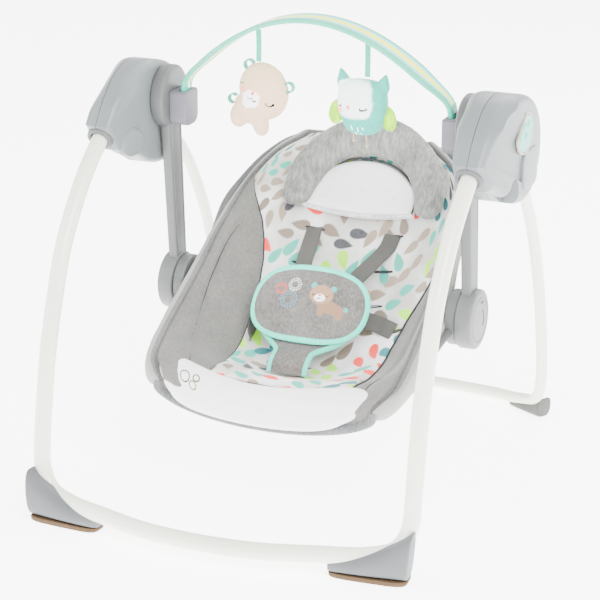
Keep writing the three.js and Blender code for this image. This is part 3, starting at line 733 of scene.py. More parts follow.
def rubber(name, colour):
    """Matt moulded rubber with dust in its grain."""
    look = Look(name, rough=0.85, specular_ior_level=0.25)
    dust = look.fade(look.noise(45, detail=6, rough=0.7), 0.5, 0.75)
    look.feed(Base_Color=look.mix(dust * 0.5, colour, tuple(min(1, c * 1.4 + 0.03) for c in colour)))
    return look.bump(look.noise(900), 0.5, 0.0004).material


def knit_height(look, vector, pitch, slant=0.35):
    """The height of a fine jersey: little slanted loops at the given pitch in metres."""
    x, y, z = look.parts(vector)
    rows = ((x + z * 0.6) * (2 * math.pi / pitch)).sine()
    columns = ((y + z * 0.8 + abs(rows) * (pitch * slant)) * (2 * math.pi / pitch)).sine()
    return rows * 0.5 + columns * 0.5


def heather(name, dark, light, pitch=0.0014, fuzz=0.6):
    """Brushed heather jersey: mixed light and dark fibres that run in short streaks, and a soft nap."""
    look = Look(name, rough=0.95, sheen_weight=0.35, sheen_roughness=0.45, specular_ior_level=0.15)
    place = look.place()
    streaks = look.noise(330, look.stretched(place, (1.0, 1.0, 0.28)), detail=4, rough=0.65)
    clouds = look.noise(26, place, detail=4, rough=0.6)
    share = look.fade(streaks, 0.34, 0.68) * 0.6 + look.fade(clouds, 0.3, 0.7) * 0.4
    look.feed(Base_Color=look.mix(share, dark, light))
    height = knit_height(look, place, pitch) * 0.35 + look.noise(900, place, detail=3) * fuzz + clouds * 0.8
    return look, height, share


def wing_cloth(name, dark, light, outer):
    """Heather of the seat's sides, whose back is a lighter cloth. lay.z tells the faces apart."""
    look, height, share = heather(name, dark, light)
    u, v, c = look.parts(look.lay())
    back = look.fade(c, 0.2, -0.2)
    front_colour = look.mix(share, dark, light)
    # painted light: the outside face (back) takes a lighter, lit copy of the same heather, where the lamps fall on it
    look.feed(Base_Color=look.mix(back, front_colour, look.mix(share, tuple(k * 0.93 for k in outer), outer)))
    return look.bump(height, 0.35, 0.0009).material


def plain_heather(name, dark, light, depth=0.0009):
    look, height, _ = heather(name, dark, light)
    return look.bump(height, 0.35, depth).material


def leaf_print(name):
    """White cotton printed with soft teardrop leaves in six colours, quilted with a shallow wave."""
    look = Look(name, rough=0.9, sheen_weight=0.2, sheen_roughness=0.5, specular_ior_level=0.2)
    x, y, _ = look.parts(look.lay())
    spread = look.vector(x, y)
    white = seen(236, 235, 234)
    colour = look.mix(look.fade(look.noise(14, detail=3), 0.35, 0.7), seen(222, 221, 219), white)
    layers = ((1 / 0.034, 0.0, 0.0, 0.0132, 0.0070), (1 / 0.034, 0.513, 0.471, 0.0122, 0.0066))
    palette = (
        (0.0, seen(118, 204, 198)), (0.16, seen(206, 198, 189)), (0.34, seen(186, 212, 50)),
        (0.48, seen(124, 124, 133)), (0.60, seen(255, 122, 92)), (0.72, seen(190, 180, 170)),
               (0.86, seen(50, 166, 170)),
    )
    for scale, shift_x, shift_y, long, wide in layers:
        offset = look.vector(x + shift_x * 0.03, y + shift_y * 0.03)
        sockets = {"Vector": offset, "Scale": scale, "Randomness": 0.42}
        cell = look.node("ShaderNodeTexVoronoi", {"voronoi_dimensions": "2D"}, sockets, out="Color")
        centre = Value(look, cell.socket.node.outputs["Position"])
        cx, cy, _ = look.parts(centre)
        r, g, b = look.parts(cell)
        dx, dy = x + shift_x * 0.03 - cx, y + shift_y * 0.03 - cy
        angle = r * (4 * math.pi) + (g * 0.5)
        cosine, sine = (angle + math.pi / 2).sine(), angle.sine()
        along = (dx * cosine + dy * sine) / (2 * long) + 0.42
        aside = dy * cosine - dx * sine
        inside = along.at_least(0.0).at_most(1.0)
        half = (inside ** 0.5) * (1 - inside) * (2.6 * wide)
        mask = look.fade(half - abs(aside), -0.00015, 0.00035)
        rim = look.fade(half - abs(aside), 0.0016, 0.0008)
        tint = look.node("ShaderNodeValToRGB", {"interpolation": "CONSTANT", "stops": palette}, {0: b})
        washed = look.mix(look.noise(260, spread, detail=3) * 0.08 + rim * 0.22, tint, white)
        colour = look.mix(mask, colour, washed)
    look.feed(Base_Color=colour)
    thread = knit_height(look, spread, 0.0011, 0.0)
    ripple = look.noise(34, spread, detail=2)
    return look.bump(thread * 0.25 + ripple * 2.0, 0.5, 0.0012).material


def velour(name, colour, sewn=False):
    """Short white pile with sewn dimples; with sewn, three embroidered rings near the left end."""
    look = Look(name, rough=0.95, sheen_weight=0.5, sheen_roughness=0.35, specular_ior_level=0.12)
    place = look.place()
    pile = look.noise(650, place, detail=4, rough=0.7)
    tone = look.mix(look.fade(pile, 0.3, 0.7), tuple(c * 0.93 for c in colour), colour)
    if sewn:
        a, b, _ = look.parts(look.lay())
        x, y = a * 0.150, b * 0.033
        for cx, cy, r, tint in ((-0.0865, 0.004, 0.0075, (92, 130, 132)),
                                (-0.0690, 0.0075, 0.0046, (128, 118, 112)),
                                (-0.0725, -0.0035, 0.0052, (176, 170, 96))):
            tone = look.mix(look.ring(x, y, cx, cy, r, 0.0009), tone, seen(*tint))
    look.feed(Base_Color=tone)
    dimple = look.node("ShaderNodeTexVoronoi", None, {"Vector": place, "Scale": 62.0, "Randomness": 0.7})
    puff = look.fade(dimple, 0.0, 0.45)
    return look.bump(puff * 1.6 + pile * 0.5, 0.45, 0.0016).material


def plush(name, dark, light):
    """Minky plush: soft pile brushed one way, with clouded light and dark."""
    look = Look(name, rough=1.0, sheen_weight=0.6, sheen_roughness=0.3, specular_ior_level=0.1)
    place = look.place()
    brushed = look.noise(240, look.stretched(place, (1.0, 0.6, 0.22), (0.4, 0.0, 0.3)), detail=5, rough=0.7)
    cloud = look.noise(38, place, detail=3)
    look.feed(Base_Color=look.mix(look.fade(brushed, 0.32, 0.7) * 0.65 + look.fade(cloud, 0.3, 0.7) * 0.35,
                                  dark, light))
    return look.bump(brushed * 1.2 + cloud, 0.5, 0.0016).material


def webbing(name, colour, pitch=0.0016):
    """Woven strap: slanted ribs across and a stitched line beside each edge."""
    look = Look(name, rough=0.8, sheen_weight=0.15, specular_ior_level=0.3)
    x, y, _ = look.parts(look.lay())
    weave = ((y + abs(x) * 0.5) * (2 * math.pi / pitch)).sine() * ((x) * (2 * math.pi / pitch)).sine()
    edge = look.fade(abs(x), 0.0098, 0.0104)
    base = look.mix(look.fade(weave, -0.6, 0.6), tuple(c * 0.72 for c in colour), colour)
    look.feed(Base_Color=look.mix(edge * 0.4, base, tuple(c * 0.6 for c in colour)))
    return look.bump(weave, 0.5, 0.0004).material


def striped_sleeve(name, teal, pale, yellow):
    """The toy bar's knitted sleeve: teal edges, pale blue, and a yellow stripe along the middle."""
    look = Look(name, rough=0.9, sheen_weight=0.3, specular_ior_level=0.2)
    x, y, z = look.parts(look.lay())
    edge = look.fade(abs(z), 0.58, 0.62)
    middle = look.fade(abs(z), 0.31, 0.27)
    fibres = look.noise(420, look.vector(x * 3, y), detail=3)
    tone = look.mix(edge, look.mix(middle, pale, yellow), teal)
    look.feed(Base_Color=look.mix(look.fade(fibres, 0.3, 0.75) * 0.10, tone, seen(240, 240, 240)))
    ribs = (y * (2 * math.pi / 0.0019)).sine()
    return look.bump(ribs * 0.5 + fibres, 0.4, 0.0006).material


def belly_patch(name, dark, light):
    """The waist pad's face: heather with three dotted rings and a sleeping bear sewn on it."""
    look, height, share = heather(name, dark, light)
    x, y, c = look.parts(look.lay())
    y = y - 0.007
    tone = look.mix(share, dark, light)

    def sew(tone, mask, colour):
        return look.mix(mask, tone, seen(*colour))

    for cx, cy, r, colour in ((-0.024, 0.0175, 0.0085, (236, 236, 236)),
                              (-0.0425, 0.010, 0.0075, (236, 160, 140)),
                              (-0.028, -0.004, 0.0115, (150, 200, 208))):
        dx, dy = x - cx, y - cy
        angle = look.node("ShaderNodeMath", {"operation": "ARCTAN2"}, {0: dy, 1: dx})
        dots = look.fade((angle * 16).sine(), -0.1, 0.4)
        for reach, half in ((1.0, 0.0010), (0.66, 0.0008)):
            tone = sew(tone, look.ring(x, y, cx, cy, r * reach, half) * dots, colour)
    tan, teal, white = (208, 193, 178), (140, 206, 204), (240, 236, 234)
    body = look.oval(x, y, 0.033, -0.0095, 0.0205, 0.0088, -0.22)
    legs = look.oval(x, y, 0.021, -0.0155, 0.005,
                     0.0075).at_least(look.oval(x, y, 0.046, -0.018, 0.0048, 0.0075, 0.2))
    head = look.oval(x, y, 0.0165, 0.0075, 0.0165, 0.0135, -0.10)
    ears = look.oval(x, y, 0.0035, 0.0195, 0.0042,
                     0.0042).at_least(look.oval(x, y, 0.0315, 0.0175, 0.0042, 0.0042))
    tone = sew(tone, look.oval(x, y, 0.0540, -0.0085, 0.0034, 0.0034), teal)
    tone = sew(tone, ears, teal)
    tone = sew(tone, body.at_least(legs), (200, 184, 168))
    tone = sew(tone, head, tan)
    tone = sew(tone, look.oval(x, y, 0.0150, 0.0030, 0.0080, 0.0056), white)
    tone = sew(tone, look.oval(x, y, 0.0145, 0.0062, 0.0020, 0.0014), (232, 150, 140))
    for ex in (0.0060, 0.0240):
        tone = sew(tone, look.stroke(x, y, ex, 0.0078, 0.0026, 0.0022, 0.22), (70, 62, 60))
    for ex in (0.0128, 0.0162):
        tone = sew(tone, look.stroke(x, y, ex, 0.0030, 0.0018, 0.0016, 0.26), (70, 62, 60))
    look.feed(Base_Color=tone)
    stitches = body.at_least(head).at_least(legs) * look.noise(1400, detail=1)
    return look.bump(height + stitches * 0.8, 0.4, 0.0009).material


def teal_keypad(name, teal, ink):
    """The control panel's printed film: small dashes round the keys on teal."""
    look = Look(name, rough=0.38, coat_weight=0.2)
    _, y, z = look.parts(look.place())
    cell = look.node("ShaderNodeTexVoronoi", {"voronoi_dimensions": "2D", "feature": "F1"},
                     {"Vector": look.vector(y, z), "Scale": 95.0, "Randomness": 0.8}, out="Position")
    cy, cz, _ = look.parts(cell)
    dash = look.fade(abs(y - cy + (z - cz) * 0.4), 0.0006, 0.0003) * look.fade(abs(z - cz), 0.0022, 0.0017)
    look.feed(Base_Color=look.mix(dash * 0.7, look.mix(look.noise(30), tuple(c * 0.9 for c in teal), teal),
                                  ink))
    return look.bump(look.noise(800), 0.15, 0.0002).material


def painted_face(name, base, patches, strokes):
    """Plush with sewn patches and thin stitched lines, by x and z in the toy's own lay coordinates."""
    look = Look(name, rough=0.98, sheen_weight=0.45, sheen_roughness=0.35, specular_ior_level=0.1)
    place = look.place()
    fibres = look.noise(420, look.stretched(place, (1.0, 1.0, 0.4)), detail=4, rough=0.7)
    x, y, z = look.parts(look.lay())
    front = look.fade(y, 0.001, -0.001)
    tone = look.mix(look.fade(fibres, 0.3, 0.7), tuple(c * 0.86 for c in base), base)
    for (cx, cz, rx, rz, turn, *fill), colour in patches:
        mask = look.oval(x, z, cx / 1000, cz / 1000, rx / 1000, rz / 1000, turn, fill=fill[0] if fill
                         else 1.0) * front
        tone = look.mix(mask, tone, look.mix(look.fade(fibres, 0.3, 0.7), tuple(c * 0.93 for c in colour),
                                             colour))
    for (cx, cz, rx, rz), colour in strokes:
        mask = look.stroke(x, z, cx / 1000, cz / 1000, rx / 1000, rz / 1000, 0.22) * front
        tone = look.mix(mask, tone, colour)
    look.feed(Base_Color=tone)
    return look.bump(fibres, 0.5, 0.0012).material


def circuit_laminate(name):
    look = Look(name, rough=0.5)
    tracks = look.node("ShaderNodeTexBrick", None,
                       {"Vector": look.place(), "Scale": 160.0, "Mortar Size": 0.03,
                                                    "Color1": (*seen(38, 96, 54), 1),
                        "Color2": (*seen(44, 110, 62), 1),
                                                    "Mortar": (*seen(150, 140, 90), 1)})
    look.feed(Base_Color=tracks)
    return look.bump(look.noise(300), 0.2, 0.0003).material


def cell_jacket(name):
    """A battery's shrink-wrap: charcoal with a plain copper-coloured band at the top."""
    look = Look(name, rough=0.35, coat_weight=0.3)
    _, _, z = look.parts(look.place())
    top = look.fade(z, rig.box("battery_cell_1")[1].z - 0.016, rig.box("battery_cell_1")[1].z - 0.015)
    look.feed(Base_Color=look.mix(top, seen(74, 79, 88), seen(196, 140, 84)))
    return look.bump(look.noise(240), 0.1, 0.0002).material


LOOKS = {}


def make_looks(settings):
    """Every finish, by a short name."""
    plastic, cloth = tuple(settings.housing_colour), tuple(settings.cloth_colour)
    teal = seen(128, 204, 198)
    LOOKS.update(
        white_paint=gloss_paint("white_tube_paint", tuple(settings.tube_colour)),
        housing=moulded("housing_plastic", plastic, 0.36),
        collar=moulded("collar_plastic", seen(152, 155, 156), 0.45),
        arm=moulded("arm_plastic", seen(156, 158, 158), 0.42),
        hub=moulded("hub_plastic", seen(164, 166, 165), 0.42),
        pocket=moulded("pocket_plastic", seen(168, 167, 174), 0.48),
        dark=moulded("dark_plastic", seen(104, 106, 110), 0.5),
        foot=moulded("foot_plastic", seen(158, 160, 163), 0.5),
        rear_foot=moulded("rear_foot_plastic", seen(140, 141, 136), 0.52),
        bezel=moulded("bezel_plastic", seen(212, 208, 198), 0.4),
        bracket=moulded("teal_bracket", seen(118, 204, 196), 0.4),
        acetal=moulded("bush_acetal", seen(236, 233, 222), 0.4),
        key=moulded("key_plastic", seen(130, 206, 201), 0.35),
        sole=rubber("foot_rubber", seen(150, 132, 108)),
        steel=metal("turned_steel", (0.62, 0.62, 0.63), 0.28, (0.1, 1, 1)),
        copper=metal("copper_winding", (0.72, 0.36, 0.18), 0.35, (1, 0.1, 1)),
        board=circuit_laminate("circuit_laminate"),
        cell=cell_jacket("battery_jacket"),
        panel=teal_keypad("panel_film", seen(122, 200, 196), seen(60, 90, 94)),
        # the last colour is painted light: a lighter, lit copy of the seat cloth for the outside face of the seat
        # sides
        wing=wing_cloth("wing_heather", tuple(c * 0.68 for c in cloth), cloth, seen(204, 204, 203)),
        heather=plain_heather("flap_heather", seen(150, 148, 145), seen(186, 184, 182)),
        lip=plain_heather("lip_heather", seen(150, 151, 153), seen(184, 185, 186)),
        welt=plain_heather("hub_welt", seen(170, 167, 158), seen(206, 203, 194), 0.0005),
        print=leaf_print("leaf_print"),
        velour=velour("front_velour", seen(238, 238, 242), sewn=True),
        moon=velour("half_moon_velour", seen(240, 240, 243)),
        plush=plush("headrest_plush", seen(166, 166, 165), seen(206, 206, 204)),
        piping=plain_heather("dark_piping", seen(92, 92, 94), seen(120, 120, 122), 0.0003),
        soft_piping=plain_heather("grey_piping", seen(140, 140, 140), seen(170, 170, 170), 0.0003),
        cord=plain_heather("white_cording", seen(214, 214, 216), seen(240, 240, 242), 0.0004),
        webbing=webbing("grey_webbing", seen(158, 156, 153)),
        binding=webbing("teal_binding", seen(156, 226, 220), 0.0011),
        ribbon=webbing("teal_ribbon", seen(124, 206, 198), 0.0010),
        patch=belly_patch("belly_patch", seen(156, 154, 151), seen(190, 188, 186)),
        sleeve=striped_sleeve("bar_sleeve", seen(104, 198, 188), seen(172, 224, 224), seen(236, 230, 70)),
        buckle=moulded("buckle_plastic", seen(146, 147, 150), 0.45),
        release=moulded("release_plastic", seen(96, 97, 101), 0.45),
        lime_plush=plush("lime_plush", seen(166, 188, 60), seen(204, 220, 104)),
        tan_plush=plush("tan_plush", seen(206, 196, 184), seen(226, 219, 209)),
        bear=painted_face(
            "bear_fur", seen(226, 219, 208),
            [((-81.5, 500, 13.5, 12, 0.5), seen(250, 248, 250)),
             ((-78, 508.5, 3.6, 2.8, 0.6), seen(244, 168, 156)),
             ((-92, 513, 5, 4, 0.5), seen(240, 208, 196))],
            [((-96.5, 523, 3.6, 3.2), seen(50, 46, 44)), ((-54.5, 496.5, 5.6, 4.8), seen(40, 36, 36)),
             ((-82.5, 503, 3.4, 3.6), seen(40, 36, 36)), ((-76.8, 500, 3.4, 3.6), seen(40, 36, 36))]),
        owl=painted_face(
            "owl_plush", seen(134, 203, 198),
            [((62.5, 513, 25.5, 24.5, 0, 2.0), seen(232, 235, 243)),
             ((56, 502, 2.6, 4.0, 0.2), seen(244, 196, 190)),
             ((44, 498, 4.5, 4, 0), seen(244, 216, 214)), ((60, 476, 1.0, 3.4, 0.1), seen(226, 244, 242)),
             ((68, 474, 1.0, 3.4, 0.1), seen(226, 244, 242)), ((76, 476, 1.0, 3.4, 0), seen(226, 244, 242)),
             ((64, 468, 1.0, 3.0, 0), seen(226, 244, 242)), ((72, 467, 1.0, 3.0, 0), seen(226, 244, 242))],
            [((42.5, 506, 3.6, 3.6), seen(40, 40, 44)), ((77, 504, 4.8, 4.6), seen(40, 40, 44))]),
    )


# ---------------------------------------------------------------- the stand
FRONT_HALF = [
    (253.5, -62, 490), (253.5, -121, 453.5), (253.5, -163, 420), (253.5, -195, 386), (253.5, -233, 333),
    (253.5, -259, 273), (253.5, -280, 212), (253.5, -294, 149), (253.5, -303, 98), (251, -308, 62),
    (237, -314, 37), (205, -324, 27), (148, -344, 27), (75, -365, 27), (0, -371, 27),
]
REAR_HALF = [
    (248, 50, 432), (248, 95, 398), (248, 124, 366), (248, 154, 323), (248, 184, 266), (248, 208, 200),
    (248, 227, 120), (245, 240, 64), (234, 257, 30), (207, 278, 17), (150, 292, 15), (75, 298, 15),
             (0, 299, 15),
]


def make_tubes(settings):
    """The white front and rear tubes, smooth all the way round."""
    for name, half, radius, body, node in (
        ("front_tube", FRONT_HALF, 11, "stand", "front_leg_tube"),
        ("rear_tube", REAR_HALF, 8, "rear_legs", "rear_leg_tube"),
    ):
        bm = begin()
        tube(bm, even_points(both_sides(half), 190), radius, settings.tube_sides)
        settle(finish_shape(name, bm, LOOKS["white_paint"]), body, [node], "white_paint")


FRONT_FOOT = dict(heel=(262, -321), toe=(157, -333), height=66, width=41, footing=6, draw_in=6)
REAR_FOOT = dict(heel=(247, 262), toe=(188, 295), height=30, width=26, footing=0, draw_in=4)


def boot(bm, heel, toe, height, width, footing, draw_in, base=None):
    """A foot round the bend of a leg: tall at the heel, low and rounded at the toe."""
    heel, toe = np.array(heel, float), np.array(toe, float)
    length = np.linalg.norm(toe - heel)
    along = (toe - heel) / length
    across = np.array((-along[1], along[0]))
    angle = np.linspace(0, 2 * math.pi, 36, endpoint=False)
    stations = []
    for t in np.concatenate([[0.0, 0.004, 0.015], np.linspace(0.04, 0.94, 15), [0.975, 0.994, 1.0]]):
        tall = height * (0.36 + 0.64 * (1 - t) ** 2.2)
        half = width / 2 * (1 - 0.25 * t * t)
        start = math.sqrt(max(0.0, 1 - (max(0.0, 0.03 - t) / 0.03) ** 2))
        end = start * math.sqrt(max(0.0, 1 - (max(0.0, t - 0.9) / 0.1) ** 2))
        end = 0.72 + 0.28 * end
        ring = []
        for a in angle:
            c, s = math.cos(a), math.sin(a)
            side = math.copysign(abs(c) ** 0.55, c) * half * end
            rise = math.copysign(abs(s) ** 0.6, s)
            low = footing
            z = low + (rise + 1) / 2 * (tall * (0.9 + 0.1 * end) - low)
            start = draw_in * (1 - z / height) * (1 - t)
            taper = 1 - 0.16 * max(0.0, rise)
            spot = heel + along * (start + t * length) + across * side * taper
            ring.append((spot[0], spot[1], z))
        stations.append(ring)
    loft(bm, stations)


def sole(bm, heel, toe, width, footing, draw_in, **_):
    """The rubber shoe under a front foot, a little proud of it, with a rounded tread edge."""
    heel, toe = np.array(heel, float), np.array(toe, float)
    length = np.linalg.norm(toe - heel)
    along = (toe - heel) / length
    across = np.array((-along[1], along[0]))
    half = width / 2
    outline = []
    for i in range(40):
        a = 2 * math.pi * i / 40
        run = 0.5 + 0.5 * math.copysign(abs(math.cos(a)) ** 0.35, math.cos(a))
        aside = math.copysign(abs(math.sin(a)) ** 0.45, math.sin(a)) * half * (1 - 0.25 * run * run) * 0.97
        outline.append(heel + along * (draw_in - 1 + run * (length - draw_in + 1)) + across * aside)
    outline = np.array(outline)
    middle = outline.mean(axis=0)
    stations = []
    for z, share in ((0.0, 0.93), (0.0, 0.965), (0.8, 0.985), (4.6, 1.0), (footing - 0.3, 0.985)):
        ring = middle + (outline - middle) * share
        stations.append(np.column_stack([ring, np.full(len(ring), z)]))
    loft(bm, stations)


def make_feet(settings):
    """Front boots with rubber soles, and rear boots."""
    for side in SIDES:
        for name, shape, look, body, node, slot in (
            ("front_boot_", FRONT_FOOT, "foot", "stand", "front_foot_", "foot_grey"),
            ("rear_boot_", REAR_FOOT, "rear_foot", "rear_legs", "rear_foot_", "foot_grey"),
        ):
            bm = begin()
            boot(bm, **shape)
            mirror_x(bm, side)
            settle(finish_shape(name + side, bm, LOOKS[look], 60), body, [node + side], slot)
        bm = begin()
        sole(bm, **FRONT_FOOT)
        mirror_x(bm, side)
        settle(finish_shape("front_shoe_" + side, bm, LOOKS["sole"], 40), "stand", ["front_sole_" + side],
               "sole_rubber")


# ---------------------------------------------------------------- the pivot housings
HOUSING_POINTS = [
    (-110, 435), (-86, 428), (-60, 415), (-30, 400), (5, 393), (38, 401), (62, 427), (70, 460),
    (62, 495), (38, 521), (0, 535), (-42, 540), (-80, 529), (-112, 503), (-136, 472),
]
COLLAR_TIP = -138
CREASE = {"from": (-150, 468), "normal": (-0.50, 0.866), "slope": 0.8, "inner_slope": 0.62}


def housing_outline(count=150):
    """The housing's side outline: a smooth curve closed by the flat end of the collar."""
    curve = even_points([(0, y, z) for y, z in HOUSING_POINTS], count)[:, 1:]
    low, high = curve[0], curve[-1]
    end = [high + (low - high) * t for t in (0.25, 0.5, 0.75)]
    return np.array(list(curve) + end)


def housing_face(face):
    """Bends a housing's flat sides: both taper to the collar, and slope away over the top front crease."""
    normal = np.array(CREASE["normal"])

    def bent(x, y, z):
        taper = min(1.0, max(0.0, (-66 - y) / (-66 - COLLAR_TIP)))
        beyond = max(0.0, float(np.dot(np.array((y, z)) - CREASE["from"], normal)))
        outer_drop = max(taper * (face - PARTING - 19), CREASE["slope"] * beyond)
        inner_drop = max(taper * (PARTING - 19 - HOUSING_IN), CREASE["inner_slope"] * beyond)
        if x > PARTING:
            return PARTING + (x - PARTING) * (1 - outer_drop / (face - PARTING))
        return PARTING - (PARTING - x) * (1 - inner_drop / (PARTING - HOUSING_IN))

    return bent


def leg_way(bm):
    """Room for the rear leg to fold, as the frame's housings leave it."""
    outline = np.array([(37, 457), (24, 459), (15, 446), (-2, 366), (106, 366), (106, 412)], float)
    plate(bm, outline, [(236.5, 0), (259.5, 0)])


def finger_notch(bm, back):
    arch = [(-46 + 18 * math.cos(a), 418 + 18 * math.sin(a)) for a in np.linspace(0, math.pi, 17)]
    plate(bm, np.array([(-28, 370)] + arch + [(-64, 370)]), [(back, 3), (back, 0), (320, 0)])


def housing_half(side, half):
    """One half of a housing, with rounded rims and a fine chamfer at the parting line."""
    face = HOUSING_FACE[side]
    bm = begin()
    if half == "inner":
        profile = rounded_profile(HOUSING_IN, PARTING - 0.45, 11, 1.0, 6)
    else:
        profile = rounded_profile(PARTING + 0.45, face, 1.0, 13, 7)
    plate(bm, housing_outline(), profile, housing_face(face),
          lambda y: np.clip(0.55 + (y - COLLAR_TIP) / 90, 0.55, 1.0))
    mirror_x(bm, side)
    piece = finish_shape(f"housing_shell_{half}_{side}", bm, LOOKS["housing"])
    cutters = [leg_way]
    if half == "outer":
        cutters.append(lambda cutter: finger_notch(cutter, face - 21 if side == "right" else face - 14))
    for shape in cutters:
        cutter = begin()
        shape(cutter)
        mirror_x(cutter, side)
        carve(piece, cutter)
    return piece


def collar_lip(side):
    """The darker lip where the white tube enters the housing."""
    start, nearer = np.array(FRONT_HALF[1], float), np.array(FRONT_HALF[0], float)
    along = unit(nearer - start)
    middle = np.array((PARTING, -123.5, 453.0))
    bm = begin()
    stations = []
    angle = np.linspace(0, 2 * math.pi, 40, endpoint=False)
    up = np.cross(along, (1, 0, 0))
    for run, r in ((6, 12.0), (-2.5, 12.0), (-3.4, 13.0), (-3.4, 15.5), (-1.8, 17.4), (0.8, 18.0), (6, 18.0)):
        ring = [middle + along * run + np.array((1.0, 0, 0)) * r * math.cos(a) + up * r * math.sin(a)
                for a in angle]
        stations.append(ring)
    loft(bm, stations)
    mirror_x(bm, side)
    settle(finish_shape("collar_lip_" + side, bm, LOOKS["collar"]), "stand")


def thumb_lobe(side):
    """The raised round lobe low on the inner face of a housing."""
    bm = begin()
    outline = ellipse(-84, 441, 24, 19, 48, -0.2)
    bent = housing_face(HOUSING_FACE[side])
    profile = [(HOUSING_IN - 2.6, 14), (HOUSING_IN - 2.4, 6), (HOUSING_IN - 1.4, 2), (HOUSING_IN + 0.5, 0),
               (HOUSING_IN + 8, -1)]
    plate(bm, outline, profile, bent)
    mirror_x(bm, side)
    settle(finish_shape("thumb_lobe_" + side, bm, LOOKS["housing"]), "stand")


BEZEL_CUT = (-0.66, 0.75)
KEYS = {"power": (-27, 486, 5), "speed": (-13, 497, 4.5), "melody": (2, 496, 4.5), "volume": (-6, 482, 4.5)}


def make_housings(settings):
    """Both pivot housings: shells, collar lips, lobes, control panel, keys and battery door."""
    for side in SIDES:
        for half in ("inner", "outer"):
            piece = housing_half(side, half)
            settle(piece, "stand", [f"housing_{half}_{side}"], "housing_grey")
        collar_lip(side)
        thumb_lobe(side)
    bm = begin()
    plate(bm, clipped(ellipse(-9, 487, 31.5, 27, 64), (-9, 487), BEZEL_CUT, 18),
          [(285.5, 0), (287.9, 0), (288.5, 0.6), (288.5, 2.2), (287.2, 3.0)])
    settle(finish_shape("panel_bezel", bm, LOOKS["bezel"]), "stand")
    bm = begin()
    plate(bm, clipped(ellipse(-9, 487, 28, 23.5, 64), (-9, 487), BEZEL_CUT, 15),
          [(284, 0), (288.0, 0), (288.4, 0.5)])
    settle(finish_shape("keypad_film", bm, LOOKS["panel"]), "stand", ["control_panel"], "teal_panel")
    for key, (y, z, r) in KEYS.items():
        bm = begin()
        lathe_x(bm, [(284, r), (288.7, r), (289.2, r - 0.6), (289.4, r - 2), (289.3, 0.4)], y, z, 28)
        settle(finish_shape("key_" + key, bm, LOOKS["key"]), key + "_key", ["button_" + key], "key_white")
    bm = begin()
    plate(bm, rounded_rect(-14, 46, 411, 462, 14, 8), rounded_profile(284.5, 288.4, 0, 1.2, 3, 0.5, 8))
    settle(finish_shape("battery_cover", bm, LOOKS["housing"]), "door", ["battery_door"], "housing_grey")


# ---------------------------------------------------------------- swing arms, hubs and toy bar pockets
def arm_blade(bm):
    """The long blade from the disc down to the hub, with three ribs along its outer and inner faces."""
    top, low = np.array((0, PIVOT_Z - 24)), np.array((HUB[0], HUB[1] + 22))
    stations = []
    section = []
    for i in range(40):
        a = 2 * math.pi * i / 40
        section.append((math.copysign(abs(math.cos(a)) ** 0.35, math.cos(a)),
                        math.copysign(abs(math.sin(a)) ** 0.35, math.sin(a))))
    for t in np.linspace(0, 1, 24):
        centre = top + (low - top) * t
        half = 20 + (15 - 20) * t
        ring = []
        for c, s in section:
            rib = 0.9 * (1 if abs(abs(c) - 0.55) < 0.16 else 0) * (1 if 0.03 < t < 0.97 else 0)
            x = 211.5 + s * (7.4 - rib)
            ring.append((x, centre[0] + c * half, centre[1]))
        stations.append(ring)
    loft(bm, stations)


